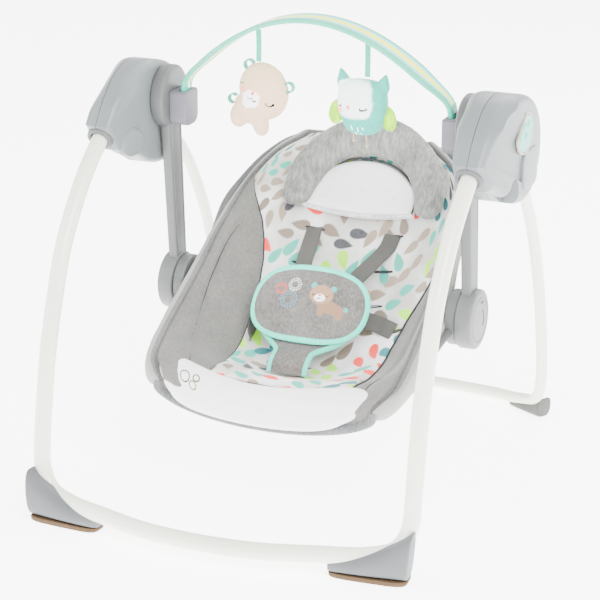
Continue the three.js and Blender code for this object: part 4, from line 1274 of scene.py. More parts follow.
def make_arms(settings):
    """Discs, blades and hubs of both swing arms, the toy bar pockets, and the seat's hub caps."""
    for side in SIDES:
        bm = begin()
        disc = [(204, 30), (204, 37), (204.6, 39.6), (206.4, 41.5), (209, 42), (218.5, 42), (220.6, 41.2),
                (221.6, 39.4), (221.8, 36)]
        lathe_x(bm, disc, 0, PIVOT_Z, 72)
        mirror_x(bm, side)
        settle(finish_shape("arm_disc_" + side, bm, LOOKS["arm"]), "swing")
        bm = begin()
        arm_blade(bm)
        mirror_x(bm, side)
        settle(finish_shape("arm_blade_" + side, bm, LOOKS["arm"], 30), "swing", ["swing_arm_" + side],
               "arm_grey")
        bm = begin()
        cap = [(203.8, 32), (203.8, 38), (204.8, 39.4), (206.5, 40), (222, 40), (224.4, 39.2), (225.6, 37.2),
               (226.4, 33),
               (226.4, 30.5), (225.6, 29.8), (225.6, 29), (226.4, 28.4), (227.2, 14), (227.4, 2)]
        lathe_x(bm, cap, *HUB, 72)
        mirror_x(bm, side)
        settle(finish_shape("arm_hub_" + side, bm, LOOKS["hub"]), "swing", ["swing_arm_" + side], "arm_grey")
        bm = begin()
        mark = [(227.0, HUB[0] + 13 * math.cos(a), HUB[1] + 13 * math.sin(a))
                for a in np.linspace(-0.9, 1.1, 16)]
        tube(bm, np.array(mark), 0.9, 8)
        tube(bm, np.array([(226.9, HUB[0] + 3, HUB[1] + 22), (226.9, HUB[0] + 10, HUB[1] + 22)]), 0.9, 8)
        mirror_x(bm, side)
        settle(finish_shape("hub_mark_" + side, bm, LOOKS["dark"]), "swing")
        bm = begin()
        cap = [(188, 8), (188, 33), (188.6, 35.6), (190.4, 37), (201.6, 37), (203, 36), (203.4, 33),
               (203.4, 8)]
        lathe_x(bm, cap, *HUB, 64)
        mirror_x(bm, side)
        settle(finish_shape("seat_hub_" + side, bm, LOOKS["arm"]), "seat", ["recline_hub_" + side],
               "arm_grey")
        bm = begin()
        low = [(14 * math.cos(a), 464 + 14 * math.sin(a)) for a in np.linspace(-math.pi / 2, 0, 9)]
        outline = np.array([(-6 - 14 * math.cos(a), 464 - 14 * math.sin(a))
                            for a in np.linspace(0, math.pi / 2, 9)]
                           + [(y + 6, z) for y, z in low]
                           + [(20, 494.5), (17.5, 497), (-17.5, 497), (-20, 494.5)])
        plate(bm, outline, rounded_profile(179.5, 203.7, 2.5, 1.0, 4))
        piece = finish_shape("bar_pocket_" + side, bm, LOOKS["pocket"])
        slot = begin()
        plate(slot, rounded_rect(-13.5, 13.5, 457, 520, 2, 3), [(183.8, 0), (193.2, 0)])
        carve(piece, slot)
        if side == "left":
            flip = Matrix.Translation((2 * ORIGIN.x, 0, 0)) @ Matrix.Scale(-1, 4, (1, 0, 0))
            piece.data.transform(flip)
            piece.data.flip_normals()
        settle(piece, "swing", ["toy_bar_socket_" + side], "socket_grey")


# ---------------------------------------------------------------- toy bar and toys
BAR = dict(half_span=188.5, arch_x=184, spring_z=513, rise=98, lean=16, width=46, end_width=24, thick=6)


def bar_points():
    points = [(-BAR["half_span"], 0, 461), (-BAR["half_span"], 0, 492)]
    for i in range(13):
        across = i / 6 - 1
        rise = 1 - across * across
        points.append((across * BAR["arch_x"], -BAR["lean"] * rise, BAR["spring_z"] + BAR["rise"] * rise))
    return points + [(BAR["half_span"], 0, 492), (BAR["half_span"], 0, 461)]


def bar_bracket(side):
    """The teal plastic end of the bar, which drops into its pocket, with a rivet through it."""
    bm = begin()
    points = even_points([(188.5, 0, 461), (188.5, 0, 478), (188.2, 0, 496), (186.0, -0.8, 512)], 16)
    band(bm, points, (0, 1, 0), 24.5, 6.6)
    mirror_x(bm, side)
    settle(finish_shape("bar_bracket_" + side, bm, LOOKS["bracket"]), "toy_arch")
    bm = begin()
    lathe_x(bm, [(183.2, 1.0), (183.4, 3.0), (184.4, 3.9), (192.6, 3.9), (193.4, 3.0), (193.6, 1.0)], 0, 503,
            24)
    mirror_x(bm, side)
    settle(finish_shape("bar_rivet_" + side, bm, LOOKS["steel"]), "toy_arch")


def toy_ribbon(name, node, body, x, low):
    bm = begin()
    points = even_points([(x, -13, 590), (x + 0.6, -13.4, (590 + low) / 2), (x, -13, low)], 12)
    band(bm, points, (1, 0, 0), 7.5, 1.5, edge=2)
    settle(finish_shape(name, bm, LOOKS["ribbon"]), body, [node], "ribbon")


def toy_body(name, balls, look, fill, voxel=2.4):
    """A stuffed toy: balls melted into one skin, filled out, with its own x, y and z kept as lay."""
    bm = begin()
    for centre, radii, *more in balls:
        ball(bm, centre, radii, *more)
    lay = bm.verts.layers.float_vector["lay"]
    for vert in bm.verts:
        vert[lay] = vert.co - ORIGIN + Vector((0, 0.013, 0))
    piece = finish_shape(name, bm, LOOKS[look])
    stuffed(piece, voxel, 2.0, 1.6, frames=12)
    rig.padded(piece, fill=fill)
    return piece


def ear_loop(bm, centre, radius, thick, turn, width=5.0):
    """A folded ribbon loop that makes an ear or a tail."""
    angle = np.linspace(-0.15 * math.pi, 1.15 * math.pi, 15)
    axis = np.array((math.cos(turn), 0, math.sin(turn)))
    up = np.array((-math.sin(turn), 0, math.cos(turn)))
    points = np.array([np.array(centre) + axis * radius * math.cos(a) + up * radius * math.sin(a)
                       for a in angle])
    band(bm, points, (0, 1, 0), width * 2, thick, edge=2)


def make_toys(settings):
    """The striped toy bar with its brackets, and the bear and the owl on their ribbons."""
    bm = begin()
    points = even_points(bar_points(), 130)
    end = BAR["end_width"] / BAR["width"]
    band(bm, points, (0, 1, 0), BAR["width"], BAR["thick"],
         lambda t: end + (1 - end) * smooth_step((min(t, 1 - t) - 0.085) / 0.13), edge=6)
    settle(finish_shape("bar_sleeve", bm, LOOKS["sleeve"], 60), "toy_arch", ["toy_bar"], "bar_fabric")
    for side in SIDES:
        bar_bracket(side)
    toy_ribbon("bear_hanger", "bear_ribbon", "bear", -76, 548)
    toy_ribbon("owl_hanger", "owl_ribbon", "owl", 76, 541)
    y = -13
    bear = toy_body("bear", [
        ((-69, y, 509), (35, 17, 39), (0, -14, 0)), ((-90, y + 2, 485), (23, 15, 23), (0, 0, 0)),
        ((-105, y + 2, 474), (13, 11, 18), (0, 8, 0)), ((-74, y + 1, 464), (11.5, 10, 17), (0, -10, 0)),
        ((-84, y + 1, 476), (14, 12, 14), (0, 0, 0)),
    ], "bear", 0.8)
    settle(bear, "bear", ["bear_toy"], "bear_plush")
    bm = begin()
    ear_loop(bm, (-89, y, 543), 6.5, 1.6, 0.75)
    ear_loop(bm, (-33.5, y, 517), 6.5, 1.6, -1.4)
    ear_loop(bm, (-113.5, y + 2, 495), 6, 1.6, 1.2)
    settle(finish_shape("bear_loops", bm, LOOKS["ribbon"]), "bear", (), "ribbon")
    owl = toy_body("owl", [
        ((70, y, 508), (34, 17, 30), (0, 0, 0), 3, 0.72), ((71, y, 489), (29, 16.5, 25), (0, 0, 0), 3, 0.85),
        ((43.5, y, 534), (10, 7, 18), (0, -14, 0), 3, 1.0, 0.8),
                           ((97.5, y, 531), (10, 7, 18), (0, 16, 0), 3, 1.0, 0.8),
    ], "owl", 0.8)
    settle(owl, "owl", ["owl_toy"], "owl_plush")
    for name, x, z, turn in (("owl_wing_left", 33, 491, 14), ("owl_wing_right", 104, 488, -14)):
        bm = begin()
        ball(bm, (x, y + 3, z), (11, 4.5, 17), (0, turn, 0))
        piece = finish_shape(name, bm, LOOKS["lime_plush"])
        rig.padded(piece, fill=0.5)
        settle(piece, "owl")
    bm = begin()
    for x, z, drop in ((57, 466, 9), (75, 465, 14)):
        points = even_points([(x, y, z), (x + 0.5, y - 1, z - drop / 2), (x + 1, y, z - drop)], 8)
        tube(bm, points, 0.8, 8)
        ball(bm, (x + 1, y, z - drop - 1.5), (2.6, 1.6, 1.8), (0, 0, 0), 2)
    settle(finish_shape("owl_feet", bm, LOOKS["tan_plush"]), "owl")


# ---------------------------------------------------------------- seat surface
MIDDLE = [
    (0, -181, 116), (0, -160, 141), (0, -130, 150), (0, -85, 140), (0, -40, 145), (0, 10, 187), (0, 60, 235),
    (0, 110, 278), (0, 156, 322), (0, 186, 368), (0, 203, 408),
]
CREST = [
    (148, -172, 150), (166, -152, 170), (170, -122, 188), (170, -86, 208), (169, -46, 230), (168, 0, 256),
    (166, 50, 290), (161, 95, 321), (154, 139, 348), (130, 171, 378), (88, 188, 404),
]
RUN = 480
middle_line = smooth_path(MIDDLE)
crest_line = smooth_path(CREST)
TOP_WAY = unit(middle_line(1.0) - middle_line(0.999))
LIP_WAY = unit(middle_line(0.0) - middle_line(0.001))


def bucket(u, v):
    """The seat's inner face: u from the left crest to the right one, v from the lip to the top."""
    within = min(max(v, 0.0), 1.0)
    middle, crest = middle_line(within), crest_line(within)
    turn = min(abs(u), 1.0) * math.pi / 2
    climb = 1 - math.cos(turn)
    x = math.copysign(crest[0] * math.sin(turn), u)
    face = np.array((x, middle[1] + (crest[1] - middle[1]) * climb, middle[2]
                     + (crest[2] - middle[2]) * climb))
    beyond = TOP_WAY * max(0.0, v - 1) + LIP_WAY * max(0.0, -v)
    return face + beyond * RUN


def seat_normal(u, v):
    """The direction out of the seat's inner face, towards the sitter."""
    step = 0.004
    u = max(-1 + step, min(1 - step, u))
    v = max(step, min(1 - step, v))
    along_u = bucket(u + step, v) - bucket(u - step, v)
    along_v = bucket(u, v + step) - bucket(u, v - step)
    return unit(np.cross(along_u, along_v))


def lifted(u, v, lift):
    """A point of the seat moved into the bucket."""
    return bucket(u, v) + seat_normal(u, v) * lift


def smooth_step(t):
    t = min(1.0, max(0.0, t))
    return t * t * (3 - 2 * t)


SEAM_HEIGHTS = (0.0, 0.20, 0.31, 0.43, 0.50, 0.56, 0.61, 0.66, 0.70, 0.74, 0.77, 0.80)
LINER_LEFT = (0.37, 0.37, 0.38, 0.38, 0.38, 0.40, 0.43, 0.49, 0.56, 0.68, 0.80, 0.94)
LINER_RIGHT = (0.42, 0.43, 0.46, 0.50, 0.57, 0.68, 0.78, 0.86, 0.90, 0.93, 0.95, 0.97)
SIDE_SEAM = (0.50, 0.54, 0.68, 0.77, 0.80, 0.80, 0.785, 0.745, 0.68, 0.64, 0.62, 0.60)


def liner_share(v, side=-1):
    """Half the liner's width on one side as a share of the bucket's. The right wing is folded further out."""
    return float(np.interp(v, SEAM_HEIGHTS, LINER_RIGHT if side > 0 else LINER_LEFT))


def wing_seam(v, side=-1):
    """Where the wing's second seam runs, as a share of the bucket's half width."""
    return max(float(np.interp(v, SEAM_HEIGHTS, SIDE_SEAM)), liner_share(v, side) + 0.02)


def side_bulge(u, v):
    """How far the filled side swells outwards below the rim."""
    reach = float(np.interp(v, (0, 0.1, 0.2, 0.35, 0.5, 0.6, 0.7, 0.8), (8, 13, 18, 20, 18, 11, 8, 0)))
    side = abs(u)
    return reach * smooth_step((side - 0.42) / 0.42) * (1 - 0.55 * smooth_step((side - 0.88) / 0.12))


def crease(distance, width):
    return math.exp(-((distance / width) ** 2))


def wing_height(u, v):
    """How far the padded cloth stands off the seat's inner face: full between seams, sunk along them."""
    edge = liner_share(v, u)
    side = abs(u)
    panel = min(1.0, max(0.0, (side - edge) / (1 - edge)))
    seam = wing_seam(v, u) if 0.10 < v < 0.68 else 2.0
    puff = (10.0 if u < 0 else 7.0) * math.sin(math.pi * panel) ** 0.6 if panel > 0 else 0.0
    puff *= min(1.0, (1 - edge) / 0.25) * (1 - 0.6 * crease(side - seam, 0.035))
    fold = noise.noise(Vector((u * 3.0, v * 9.0, 2.0))) * 1.6 + noise.noise(Vector((u * 9.0, v * 22.0,
                                                                                    7.0))) * 0.7
    end = smooth_step(v / 0.05) * smooth_step((1 - v) / 0.05)
    return (puff + fold * min(1.0, panel * 4)) * end


def make_seat_shell(settings):
    """The padded sides and back of the seat, with piping, seams, the front roll and the hub welts."""
    def place(a, b, c):
        v = (b + 1) / 2
        rim = max(abs(a), abs(b)) ** 30
        half = 3.5 * math.sqrt(max(0.0, 1 - rim)) + 0.8
        if c > 0:
            return lifted(a, v, -3.5 + half + wing_height(a, v))
        swell = 3.0 * math.cos(a * math.pi / 2) * math.cos(b * math.pi / 2)
        swell += 1.2 * noise.noise(Vector((a * 5, b * 7, 0)))
        return lifted(a, v, -3.5 - half - swell - side_bulge(a, v) * smooth_step((1 - abs(b)) / 0.08))

    bm = begin()
    cloth_grid(bm, settings.cloth_rows, settings.cloth_rows, place)
    shell = soften(finish_shape("seat_sides", bm, LOOKS["wing"], 180))
    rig.padded(shell, fill=0.45)
    settle(shell, "seat", ["seat_shell"], "heather_fabric")
    seam_lines = {"liner_piping_": (liner_share, 0.17, 0.79, 2.4, 1.3, "piping"),
                  "wing_seam_": (wing_seam, 0.13, 0.66, 1.6, 0.8, "piping")}
    for side, sign in SIDES.items():
        for name, (share, low, high, lift, radius, look) in seam_lines.items():
            bm = begin()
            path = [lifted(sign * share(v, sign), v, lift
                           + (wing_height(sign * share(v, sign), v) if name == "wing_seam_" else 0.6))
                    for v in np.linspace(low, high, 60)]
            tube(bm, even_points(path, 110), radius, 8)
            settle(finish_shape(name + side, bm, LOOKS[look]), "seat")
        bm = begin()
        path = [lifted(sign * 0.995, v, 0.4) for v in np.linspace(0.0, 0.985, 60)]
        tube(bm, even_points(path, 130), 2.0, 10)
        settle(finish_shape("crest_piping_" + side, bm, LOOKS["soft_piping"]), "seat")
        bm = begin()
        for shift in (0.0, 0.04):
            path = [lifted(sign * (0.93 - shift), v, -5.0 - side_bulge(0.93 - shift, v))
                    for v in np.linspace(0.3, 0.68, 30)]
            tube(bm, even_points(path, 60), 3.0, 12, taper=lambda t: 0.35
                 + 0.65 * math.sin(math.pi * t) ** 0.5)
        settle(finish_shape("hub_welt_" + side, bm, LOOKS["welt"]), "seat")
    bm = begin()
    path = [bucket(u, 0.0) + LIP_WAY * 3.0 + seat_normal(u, 0.01) * -5.0 for u in np.linspace(-1, 1, 50)]
    tube(bm, even_points(path, 130), 7.0, 20, taper=lambda t: 0.55 + 0.45 * math.sin(math.pi * t) ** 0.4)
    roll = finish_shape("front_roll", bm, LOOKS["lip"])
    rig.padded(roll, fill=0.7)
    settle(roll, "seat")


STRAP_SLOTS = {
    "left": [(-0.19, 0.71), (-0.19, 0.62), (-0.19, 0.54), (-0.37, 0.44)],
    "right": [(0.29, 0.71), (0.29, 0.62), (0.29, 0.54), (0.5, 0.47)],
}


def liner_puff(x, v):
    """Soft unevenness of the printed liner."""
    return 1.3 * noise.noise(Vector((x * 0.05, v * 16, 4.0))) + 0.7 * noise.noise(Vector((x * 0.14, v * 40,
                                                                                          9.0)))


def liner_u(a, v):
    """The place across the bucket of the liner's own a from -1 to 1."""
    left, right = liner_share(v, -1), liner_share(v, 1)
    return (right - left) / 2 + a * (right + left) / 2


def make_liner(settings):
    """The printed liner, with its strap slots stitched round."""
    def place(a, b, c):
        v = 0.165 + 0.825 * (b + 1) / 2
        u = liner_u(a, v)
        rim = max(abs(a) ** 16, abs(b) ** 24)
        top = 3.0 + 4.6 * math.sqrt(max(0.0, 1 - rim)) + liner_puff(a * 100, v) * (1 - rim)
        return lifted(u, v, 3.0 if c < 0 else top)

    bm = begin()
    cloth_grid(bm, settings.cloth_rows, int(settings.cloth_rows * 1.3), place, 0.3)
    lay = bm.verts.layers.float_vector["lay"]
    for vert in bm.verts:
        a, b, c = vert[lay]
        v = 0.165 + 0.825 * (b + 1) / 2
        vert[lay] = (liner_u(a, v) * 0.206, v * RUN / 1000, c * 0.001)
    liner = soften(finish_shape("printed_liner", bm, LOOKS["print"], 180))
    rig.padded(liner, fill=0.3)
    settle(liner, "seat", ["seat_liner"], "printed_fabric")
    bm = begin()
    for u, v in STRAP_SLOTS["left"][:3] + STRAP_SLOTS["right"]:
        middle = lifted(u, v, 8.4)
        across = unit(lifted(u + 0.02, v, 8.4) - lifted(u - 0.02, v, 8.4))
        along = unit(np.cross(seat_normal(u, v), across))
        ring = [middle + across * 14 * math.cos(t) + along * 1.3 * math.sin(t)
                for t in np.linspace(0, 2 * math.pi, 29)[:-1]]
        tube(bm, np.array(ring + ring[:1]), 0.9, 6)
    settle(finish_shape("slot_stitching", bm, LOOKS["piping"]), "seat")


def make_front_pad(settings):
    """The white velour pad over the front lip, with small sewn tufts."""
    def place(a, b, c):
        aa = a * math.sqrt(1 - b * b * 0.10)
        low = -0.016 + 0.03 * a**6
        top = 0.152 + 0.16 * a * a * (1 - a * a) - 0.03 * a**8
        v = low + (top - low) * (b + 1) / 2
        rim = max(abs(a) ** 14, abs(b) ** 6)
        tuft = abs(math.sin(a * 17.0 + b * 1.1)) ** 0.5 * abs(math.sin(b * 5.0 + a * 2.2)) ** 0.5
        high = 3.4 + 5.2 * math.sqrt(max(0.0, 1 - rim)) + 1.2 * tuft * (1 - rim)
        return lifted(aa * 0.735 - 0.085, v, 3.2 if c < 0 else high)

    bm = begin()
    cloth_grid(bm, settings.cloth_rows, 24, place, 0.3)
    pad = soften(finish_shape("front_pad_velour", bm, LOOKS["velour"], 180))
    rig.padded(pad, fill=0.5)
    settle(pad, "seat", ["front_pad"], "white_velour")


# ---------------------------------------------------------------- headrest
HEAD_CENTRE = 372
HEAD_CURVE = 8 / 110**2


def head_at(x, along, lift):
    """A point of the headrest: x across, along the back from the lip, lift off the back."""
    v = along / RUN
    normal = seat_normal(0, min(v, 0.99))
    return lifted(0, v, lift) + np.array((x, 0, 0)) + normal * HEAD_CURVE * x * x


def make_headrest(settings):
    """The plush horseshoe cushion and the white half moon sewn inside it."""
    angle = np.linspace(math.radians(-7), math.radians(187), 44)
    ring_angle = np.linspace(0, 2 * math.pi, 22, endpoint=False)
    bm = begin()
    stations = []
    for i, a in enumerate(angle):
        t = i / (len(angle) - 1)
        end = math.sqrt(max(0.0, 1 - (2 * t - 1) ** 34)) * 0.5 + 0.5
        high = max(0.0, math.sin(a))
        half = (21 + 12 * high) * end
        deep = (13 + 4 * high) * end
        cx, cw = math.cos(a), math.sin(a)
        station = []
        for r in ring_angle:
            out = half * math.cos(r)
            x = 15 + cx * (99 + out)
            along = HEAD_CENTRE + cw * (97 + out)
            station.append(head_at(x, along, 23.5 + deep * math.sin(r)))
        stations.append(station)
    loft(bm, stations, [[(0, 0, 0)] * len(ring_angle)] * len(stations))
    horseshoe = finish_shape("headrest_plush", bm, LOOKS["plush"], 180)
    horseshoe = stuffed(horseshoe, 4.5, 4.0, 2.6, frames=20)
    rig.padded(horseshoe, fill=0.75)
    settle(horseshoe, "seat", ["headrest"], "plush_grey")

    def moon(a, b, c):
        top = 62 * math.sqrt(max(0.0, 1 - a * a * 0.985))
        base = -7 - 5.5 * (1 - a * a)
        along = HEAD_CENTRE + base + (top - base) * (b + 1) / 2
        rim = max(abs(a) ** 12, abs(b) ** 8)
        return head_at(9 + 82 * a, along, 9.0 if c < 0 else 11.5 + 10 * math.sqrt(max(0.0, 1 - rim)))

    bm = begin()
    cloth_grid(bm, 40, 30, moon, 0.35)
    pad = soften(finish_shape("half_moon", bm, LOOKS["moon"], 180))
    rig.padded(pad, fill=0.4)
    settle(pad, "seat", ["headrest"], "white_velour")
    bm = begin()
    arc = [head_at(9 + 81.5 * math.cos(a), HEAD_CENTRE + 63 * math.sin(a), 21.5)
           for a in np.linspace(-0.11, math.pi + 0.11, 60)]
    tube(bm, even_points(arc, 90), 1.4, 8)
    settle(finish_shape("half_moon_piping", bm, LOOKS["piping"]), "seat")
    bm = begin()
    low = [head_at(9 + 82 * a, HEAD_CENTRE - 7.5 - 5.5 * (1 - a * a), 18.5) for a in np.linspace(-1, 1, 40)]
    tube(bm, even_points(low, 70), 2.4, 12)
    settle(finish_shape("half_moon_cord", bm, LOOKS["cord"]), "seat")


# ---------------------------------------------------------------- seat frame
def beside_shell(u, v):
    return tuple(lifted(u, v, -15.5))


def make_seat_frame(settings):
    """The painted seat tubes, front and back."""
    front = [(195.6, -14, 215), (191, -50, 203), beside_shell(0.88, 0.19), beside_shell(0.84, 0.11),
             beside_shell(0.66, 0.06), beside_shell(0.36, 0.05), beside_shell(0, 0.05)]
    back = [(195.6, 43, 235), (191, 72, 257), beside_shell(0.97, 0.69), beside_shell(0.95, 0.78),
            beside_shell(0.92, 0.88), beside_shell(0.8, 0.95), beside_shell(0.4, 0.965),
            beside_shell(0, 0.965)]
    for name, half, node in (("seat_tube_front", front, "seat_frame_front"),
                             ("seat_tube_back", back, "seat_frame_back")):
        bm = begin()
        tube(bm, even_points(both_sides(half), 120), 5.5, 16)
        settle(finish_shape(name, bm, LOOKS["arm"]), "seat", [node], "steel")


# ---------------------------------------------------------------- harness
PAD_LOW = np.array((0, -60, 186), float)
PAD_HIGH = np.array((0, 9, 268), float)
PAD_UP = unit(PAD_HIGH - PAD_LOW)
PAD_OUT = np.cross((1, 0, 0), PAD_UP)
PAD_MIDDLE = (PAD_LOW + PAD_HIGH) / 2
PAD_HALF = np.linalg.norm(PAD_HIGH - PAD_LOW) / 2
PAD_WIDE = 82


def on_pad(x, up, out):
    """A point of the waist pad: across, up its face and out from it. Its sides lean back."""
    return PAD_MIDDLE + np.array((x, 0, 0)) + PAD_UP * up + PAD_OUT * (out - 10 * (x / PAD_WIDE) ** 2)


def pad_rim(a):
    """The pad's outline at an angle: a soft oval, wider than it is tall."""
    c, s = math.cos(a), math.sin(a)
    return PAD_WIDE * math.copysign(abs(c) ** 0.74, c), PAD_HALF * math.copysign(abs(s) ** 0.80, s)


def make_waist_pad(settings):
    """The embroidered waist pad, its crotch flap, and the teal binding round both."""
    def place(a, b, c):
        x = (PAD_WIDE - 2) * a * math.sqrt(1 - b * b * 0.42)
        up = (PAD_HALF - 2) * b * math.sqrt(1 - a * a * 0.42)
        rim = min(1.0, max(abs(a), abs(b))) ** 10
        thick = 2.2 + 3.2 * math.sqrt(max(0.0, 1 - rim))
        return on_pad(x, up, thick if c > 0 else -2.6)

    bm = begin()
    cloth_grid(bm, 48, 36, place, 0.3)
    lay = bm.verts.layers.float_vector["lay"]
    for vert in bm.verts:
        a, b, c = vert[lay]
        x = (PAD_WIDE - 2) * a * math.sqrt(1 - b * b * 0.42)
        up = (PAD_HALF - 2) * b * math.sqrt(1 - a * a * 0.42)
        vert[lay] = (x / 1000, up / 1000, c)
    pad = finish_shape("waist_pad_cloth", bm, LOOKS["patch"], 180)
    pad = stuffed(pad, 2.6, 2.5, 1.6, frames=10)
    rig.padded(pad, fill=0.5)
    settle(pad, "seat", ["waist_pad"], "heather_fabric")
    bm = begin()
    rim = []
    for t in np.linspace(0, 2 * math.pi, 140, endpoint=False):
        x, up = pad_rim(t)
        rim.append(on_pad(x, up, 1.0))
    rim = np.array(rim)
    stations, lays = [], []
    centre = on_pad(0, 0, 0)
    for i, point in enumerate(rim):
        inward = unit(centre - point - PAD_OUT * np.dot(centre - point, PAD_OUT))
        ring = []
        for r in np.linspace(0, 2 * math.pi, 12, endpoint=False):
            ring.append(point + inward * (2.4 + 4.4 * math.cos(r)) + PAD_OUT * (1.6 + 3.4 * math.sin(r)))
        stations.append(ring)
        lays.append([(3.6 * math.cos(r), i * 3.2, 0)
                     for r in np.linspace(0, 2 * math.pi, 12, endpoint=False)])
    loft(bm, stations + [stations[0]], lays + [lays[0]], caps=False)
    bmesh.ops.remove_doubles(bm, verts=bm.verts, dist=1e-6)
    settle(finish_shape("waist_pad_binding", bm, LOOKS["binding"]), "seat", (), "ribbon")

    flap = [(0, -101, 155), (0, -94, 167), (0, -80, 175), (0, -58, 181.5), (0, -38, 192)]
    wide = lambda t: 1.0 + 1.35 * smooth_step((t - 0.42) / 0.58)
    points = even_points(flap, 40)
    bm = begin()
    band(bm, points, (1, 0, 0), 50, 4, wide)
    cloth = finish_shape("crotch_flap_cloth", bm, LOOKS["heather"], 60)
    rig.padded(cloth, fill=0.3)
    settle(cloth, "seat", ["waist_pad"], "heather_fabric")
    for side, sign in SIDES.items():
        bm = begin()
        edge = [point + np.array((sign * 25 * wide(i / (len(points) - 1)), 0, 0)) for i,
                point in enumerate(points)]
        tube(bm, even_points(edge, 50), 3.6, 12)
        settle(finish_shape("flap_binding_" + side, bm, LOOKS["binding"]), "seat", (), "ribbon")


def make_harness(settings):
    """Shoulder and waist straps with their sliders, and the buckle with its release button."""
    for side, sign in SIDES.items():
        slots = STRAP_SLOTS[side]
        shift = (abs(slots[0][0]) - 0.24) * 230
        shoulder = [tuple(lifted(abs(slots[0][0]), slots[0][1], 10)), (56 + shift, 92, 282),
                    (46 + shift * 0.8, 50, 264),
                    (36 + shift * 0.4, 18, 246), (30, 2, 233)]
        outer = [tuple(lifted(0.5, 0.47, 9)),
                 (96, -6, 204)] if side == "right" else [tuple(lifted(0.33, 0.42, 8))]
        waist = outer + [(78, -10, 210), (60, -13, 212), (34, -14, 211)]
        for name, route, across, node in (("shoulder_webbing_", shoulder, (1, 0.2, 0), "shoulder_strap_"),
                                          ("waist_webbing_", waist, (0, 0.62, 0.78), "waist_strap_")):
            bm = begin()
            band(bm, even_points(route, 50), across, 24, 1.8, edge=3)
            mirror_x(bm, side)
            settle(finish_shape(name + side, bm, LOOKS["webbing"], 60), "seat", [node + side], "webbing")
    bm = begin()
    way = rounded_rect(-22, 22, -8, 8, 5, 6)
    plate(bm, way, rounded_profile(-19, 19, 2.5, 2.5, 4))
    tilt = Matrix.Rotation(math.atan2(PAD_UP[2], PAD_UP[1]), 4, "X")
    turn = Matrix.Translation(to_row((0, -14, 206))) @ tilt @ Matrix.Translation(-ORIGIN)
    bmesh.ops.transform(bm, matrix=turn, verts=bm.verts)
    body = finish_shape("buckle_body", bm, LOOKS["buckle"])
    cutter = begin()
    plate(cutter, rounded_rect(-10.3, 6.3, 2, 12, 1.5, 3), [(-8.3, 0), (8.3, 0)])
    bmesh.ops.transform(cutter, matrix=turn, verts=cutter.verts)
    carve(body, cutter)
    settle(body, "seat", ["buckle"], "buckle_grey")
    bm = begin()
    plate(bm, rounded_rect(-10, 6, 4.4, 9.6, 1.6, 4), rounded_profile(-8, 8, 1.4, 1.4, 3))
    bmesh.ops.transform(bm, matrix=turn, verts=bm.verts)
    settle(finish_shape("buckle_key", bm, LOOKS["release"]), "buckle_release", ["buckle_button"],
           "release_grey")


# ---------------------------------------------------------------- frame parts that keep their shape
KEPT = {
    "leg_knuckle_": "dark", "hinge_bolt_": "steel", "fold_latch_": "dark", "axle_bush_": "acetal",
        "swing_axle_": "steel",
    "drive_magnet": "steel", "drive_coil": "copper", "circuit_board": "board", "speaker": "dark",
        "battery_cell_": "cell",
}


def finish_kept_nodes():
    """Gives every CAD node that is still shown its finish."""
    for name, node in frame["nodes"].items():
        if node.hide_render:
            continue
        look = next((value for key, value in KEPT.items() if name.startswith(key)), None)
        if look is None:
            raise RuntimeError(f"node {name} has no finish")
        for slot in node.material_slots:
            slot.material = LOOKS[look]


# ---------------------------------------------------------------- stage
CAMERA_TARGET = Vector((0.0054, -0.0479, 0.2540))


def area_light(name, place, size, power, target):
    light = bpy.data.lights.new(name, "AREA")
    light.shape = "RECTANGLE"
    light.size, light.size_y = size
    light.energy = power
    lamp = bpy.data.objects.new(name, light)
    lamp.location = place
    lamp.rotation_euler = (Vector(target) - Vector(place)).to_track_quat("-Z", "Y").to_euler()
    bpy.context.scene.collection.objects.link(lamp)


def make_stage(settings):
    """A pale floor, a soft sky, studio lamps and the camera."""
    bm = bmesh.new()
    bmesh.ops.create_grid(bm, x_segments=1, y_segments=1, size=60)
    mesh = bpy.data.meshes.new("floor")
    bm.to_mesh(mesh)
    bm.free()
    look = Look("pale_floor", rough=0.75, specular_ior_level=0.2, emission_strength=5.0)
    look.shader.inputs["Emission Color"].default_value = (1, 1, 1, 1)
    look.feed(Base_Color=look.mix(look.noise(3, detail=2), seen(250, 250, 250), seen(253, 253, 253)))
    mesh.materials.append(look.material)
    floor = bpy.data.objects.new("floor", mesh)
    bpy.context.scene.collection.objects.link(floor)
    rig.stage(floor)

    world = bpy.data.worlds.new("studio")
    bpy.context.scene.world = world
    world.use_nodes = True
    world.node_tree.nodes["Background"].inputs["Color"].default_value = (1, 1, 1, 1)
    world.node_tree.nodes["Background"].inputs["Strength"].default_value = settings.sky
    area_light("key_lamp", (1.5, -1.5, 2.1), (1.4, 1.4), settings.key_power, (0, 0, 0.3))
    area_light("fill_lamp", (-1.9, -1.1, 1.3), (1.4, 1.8), settings.key_power * 0.3, (0, 0, 0.3))
    area_light("back_lamp", (0.4, 1.8, 1.9), (1.8, 1.0), settings.key_power * 0.4, (0, 0, 0.3))

    azimuth, elevation = math.radians(settings.azimuth), math.radians(settings.elevation)
    away = Vector((math.sin(azimuth) * math.cos(elevation), -math.cos(azimuth) * math.cos(elevation),
                   math.sin(elevation)))
    data = bpy.data.cameras.new("camera")
    data.lens = 137.7
    data.sensor_width = 36
    camera = bpy.data.objects.new("camera", data)
    camera.location = CAMERA_TARGET + away * 2.9866
    camera.rotation_euler = (-away).to_track_quat("-Z", "Y").to_euler()
    bpy.context.scene.collection.objects.link(camera)
    bpy.context.scene.camera = camera


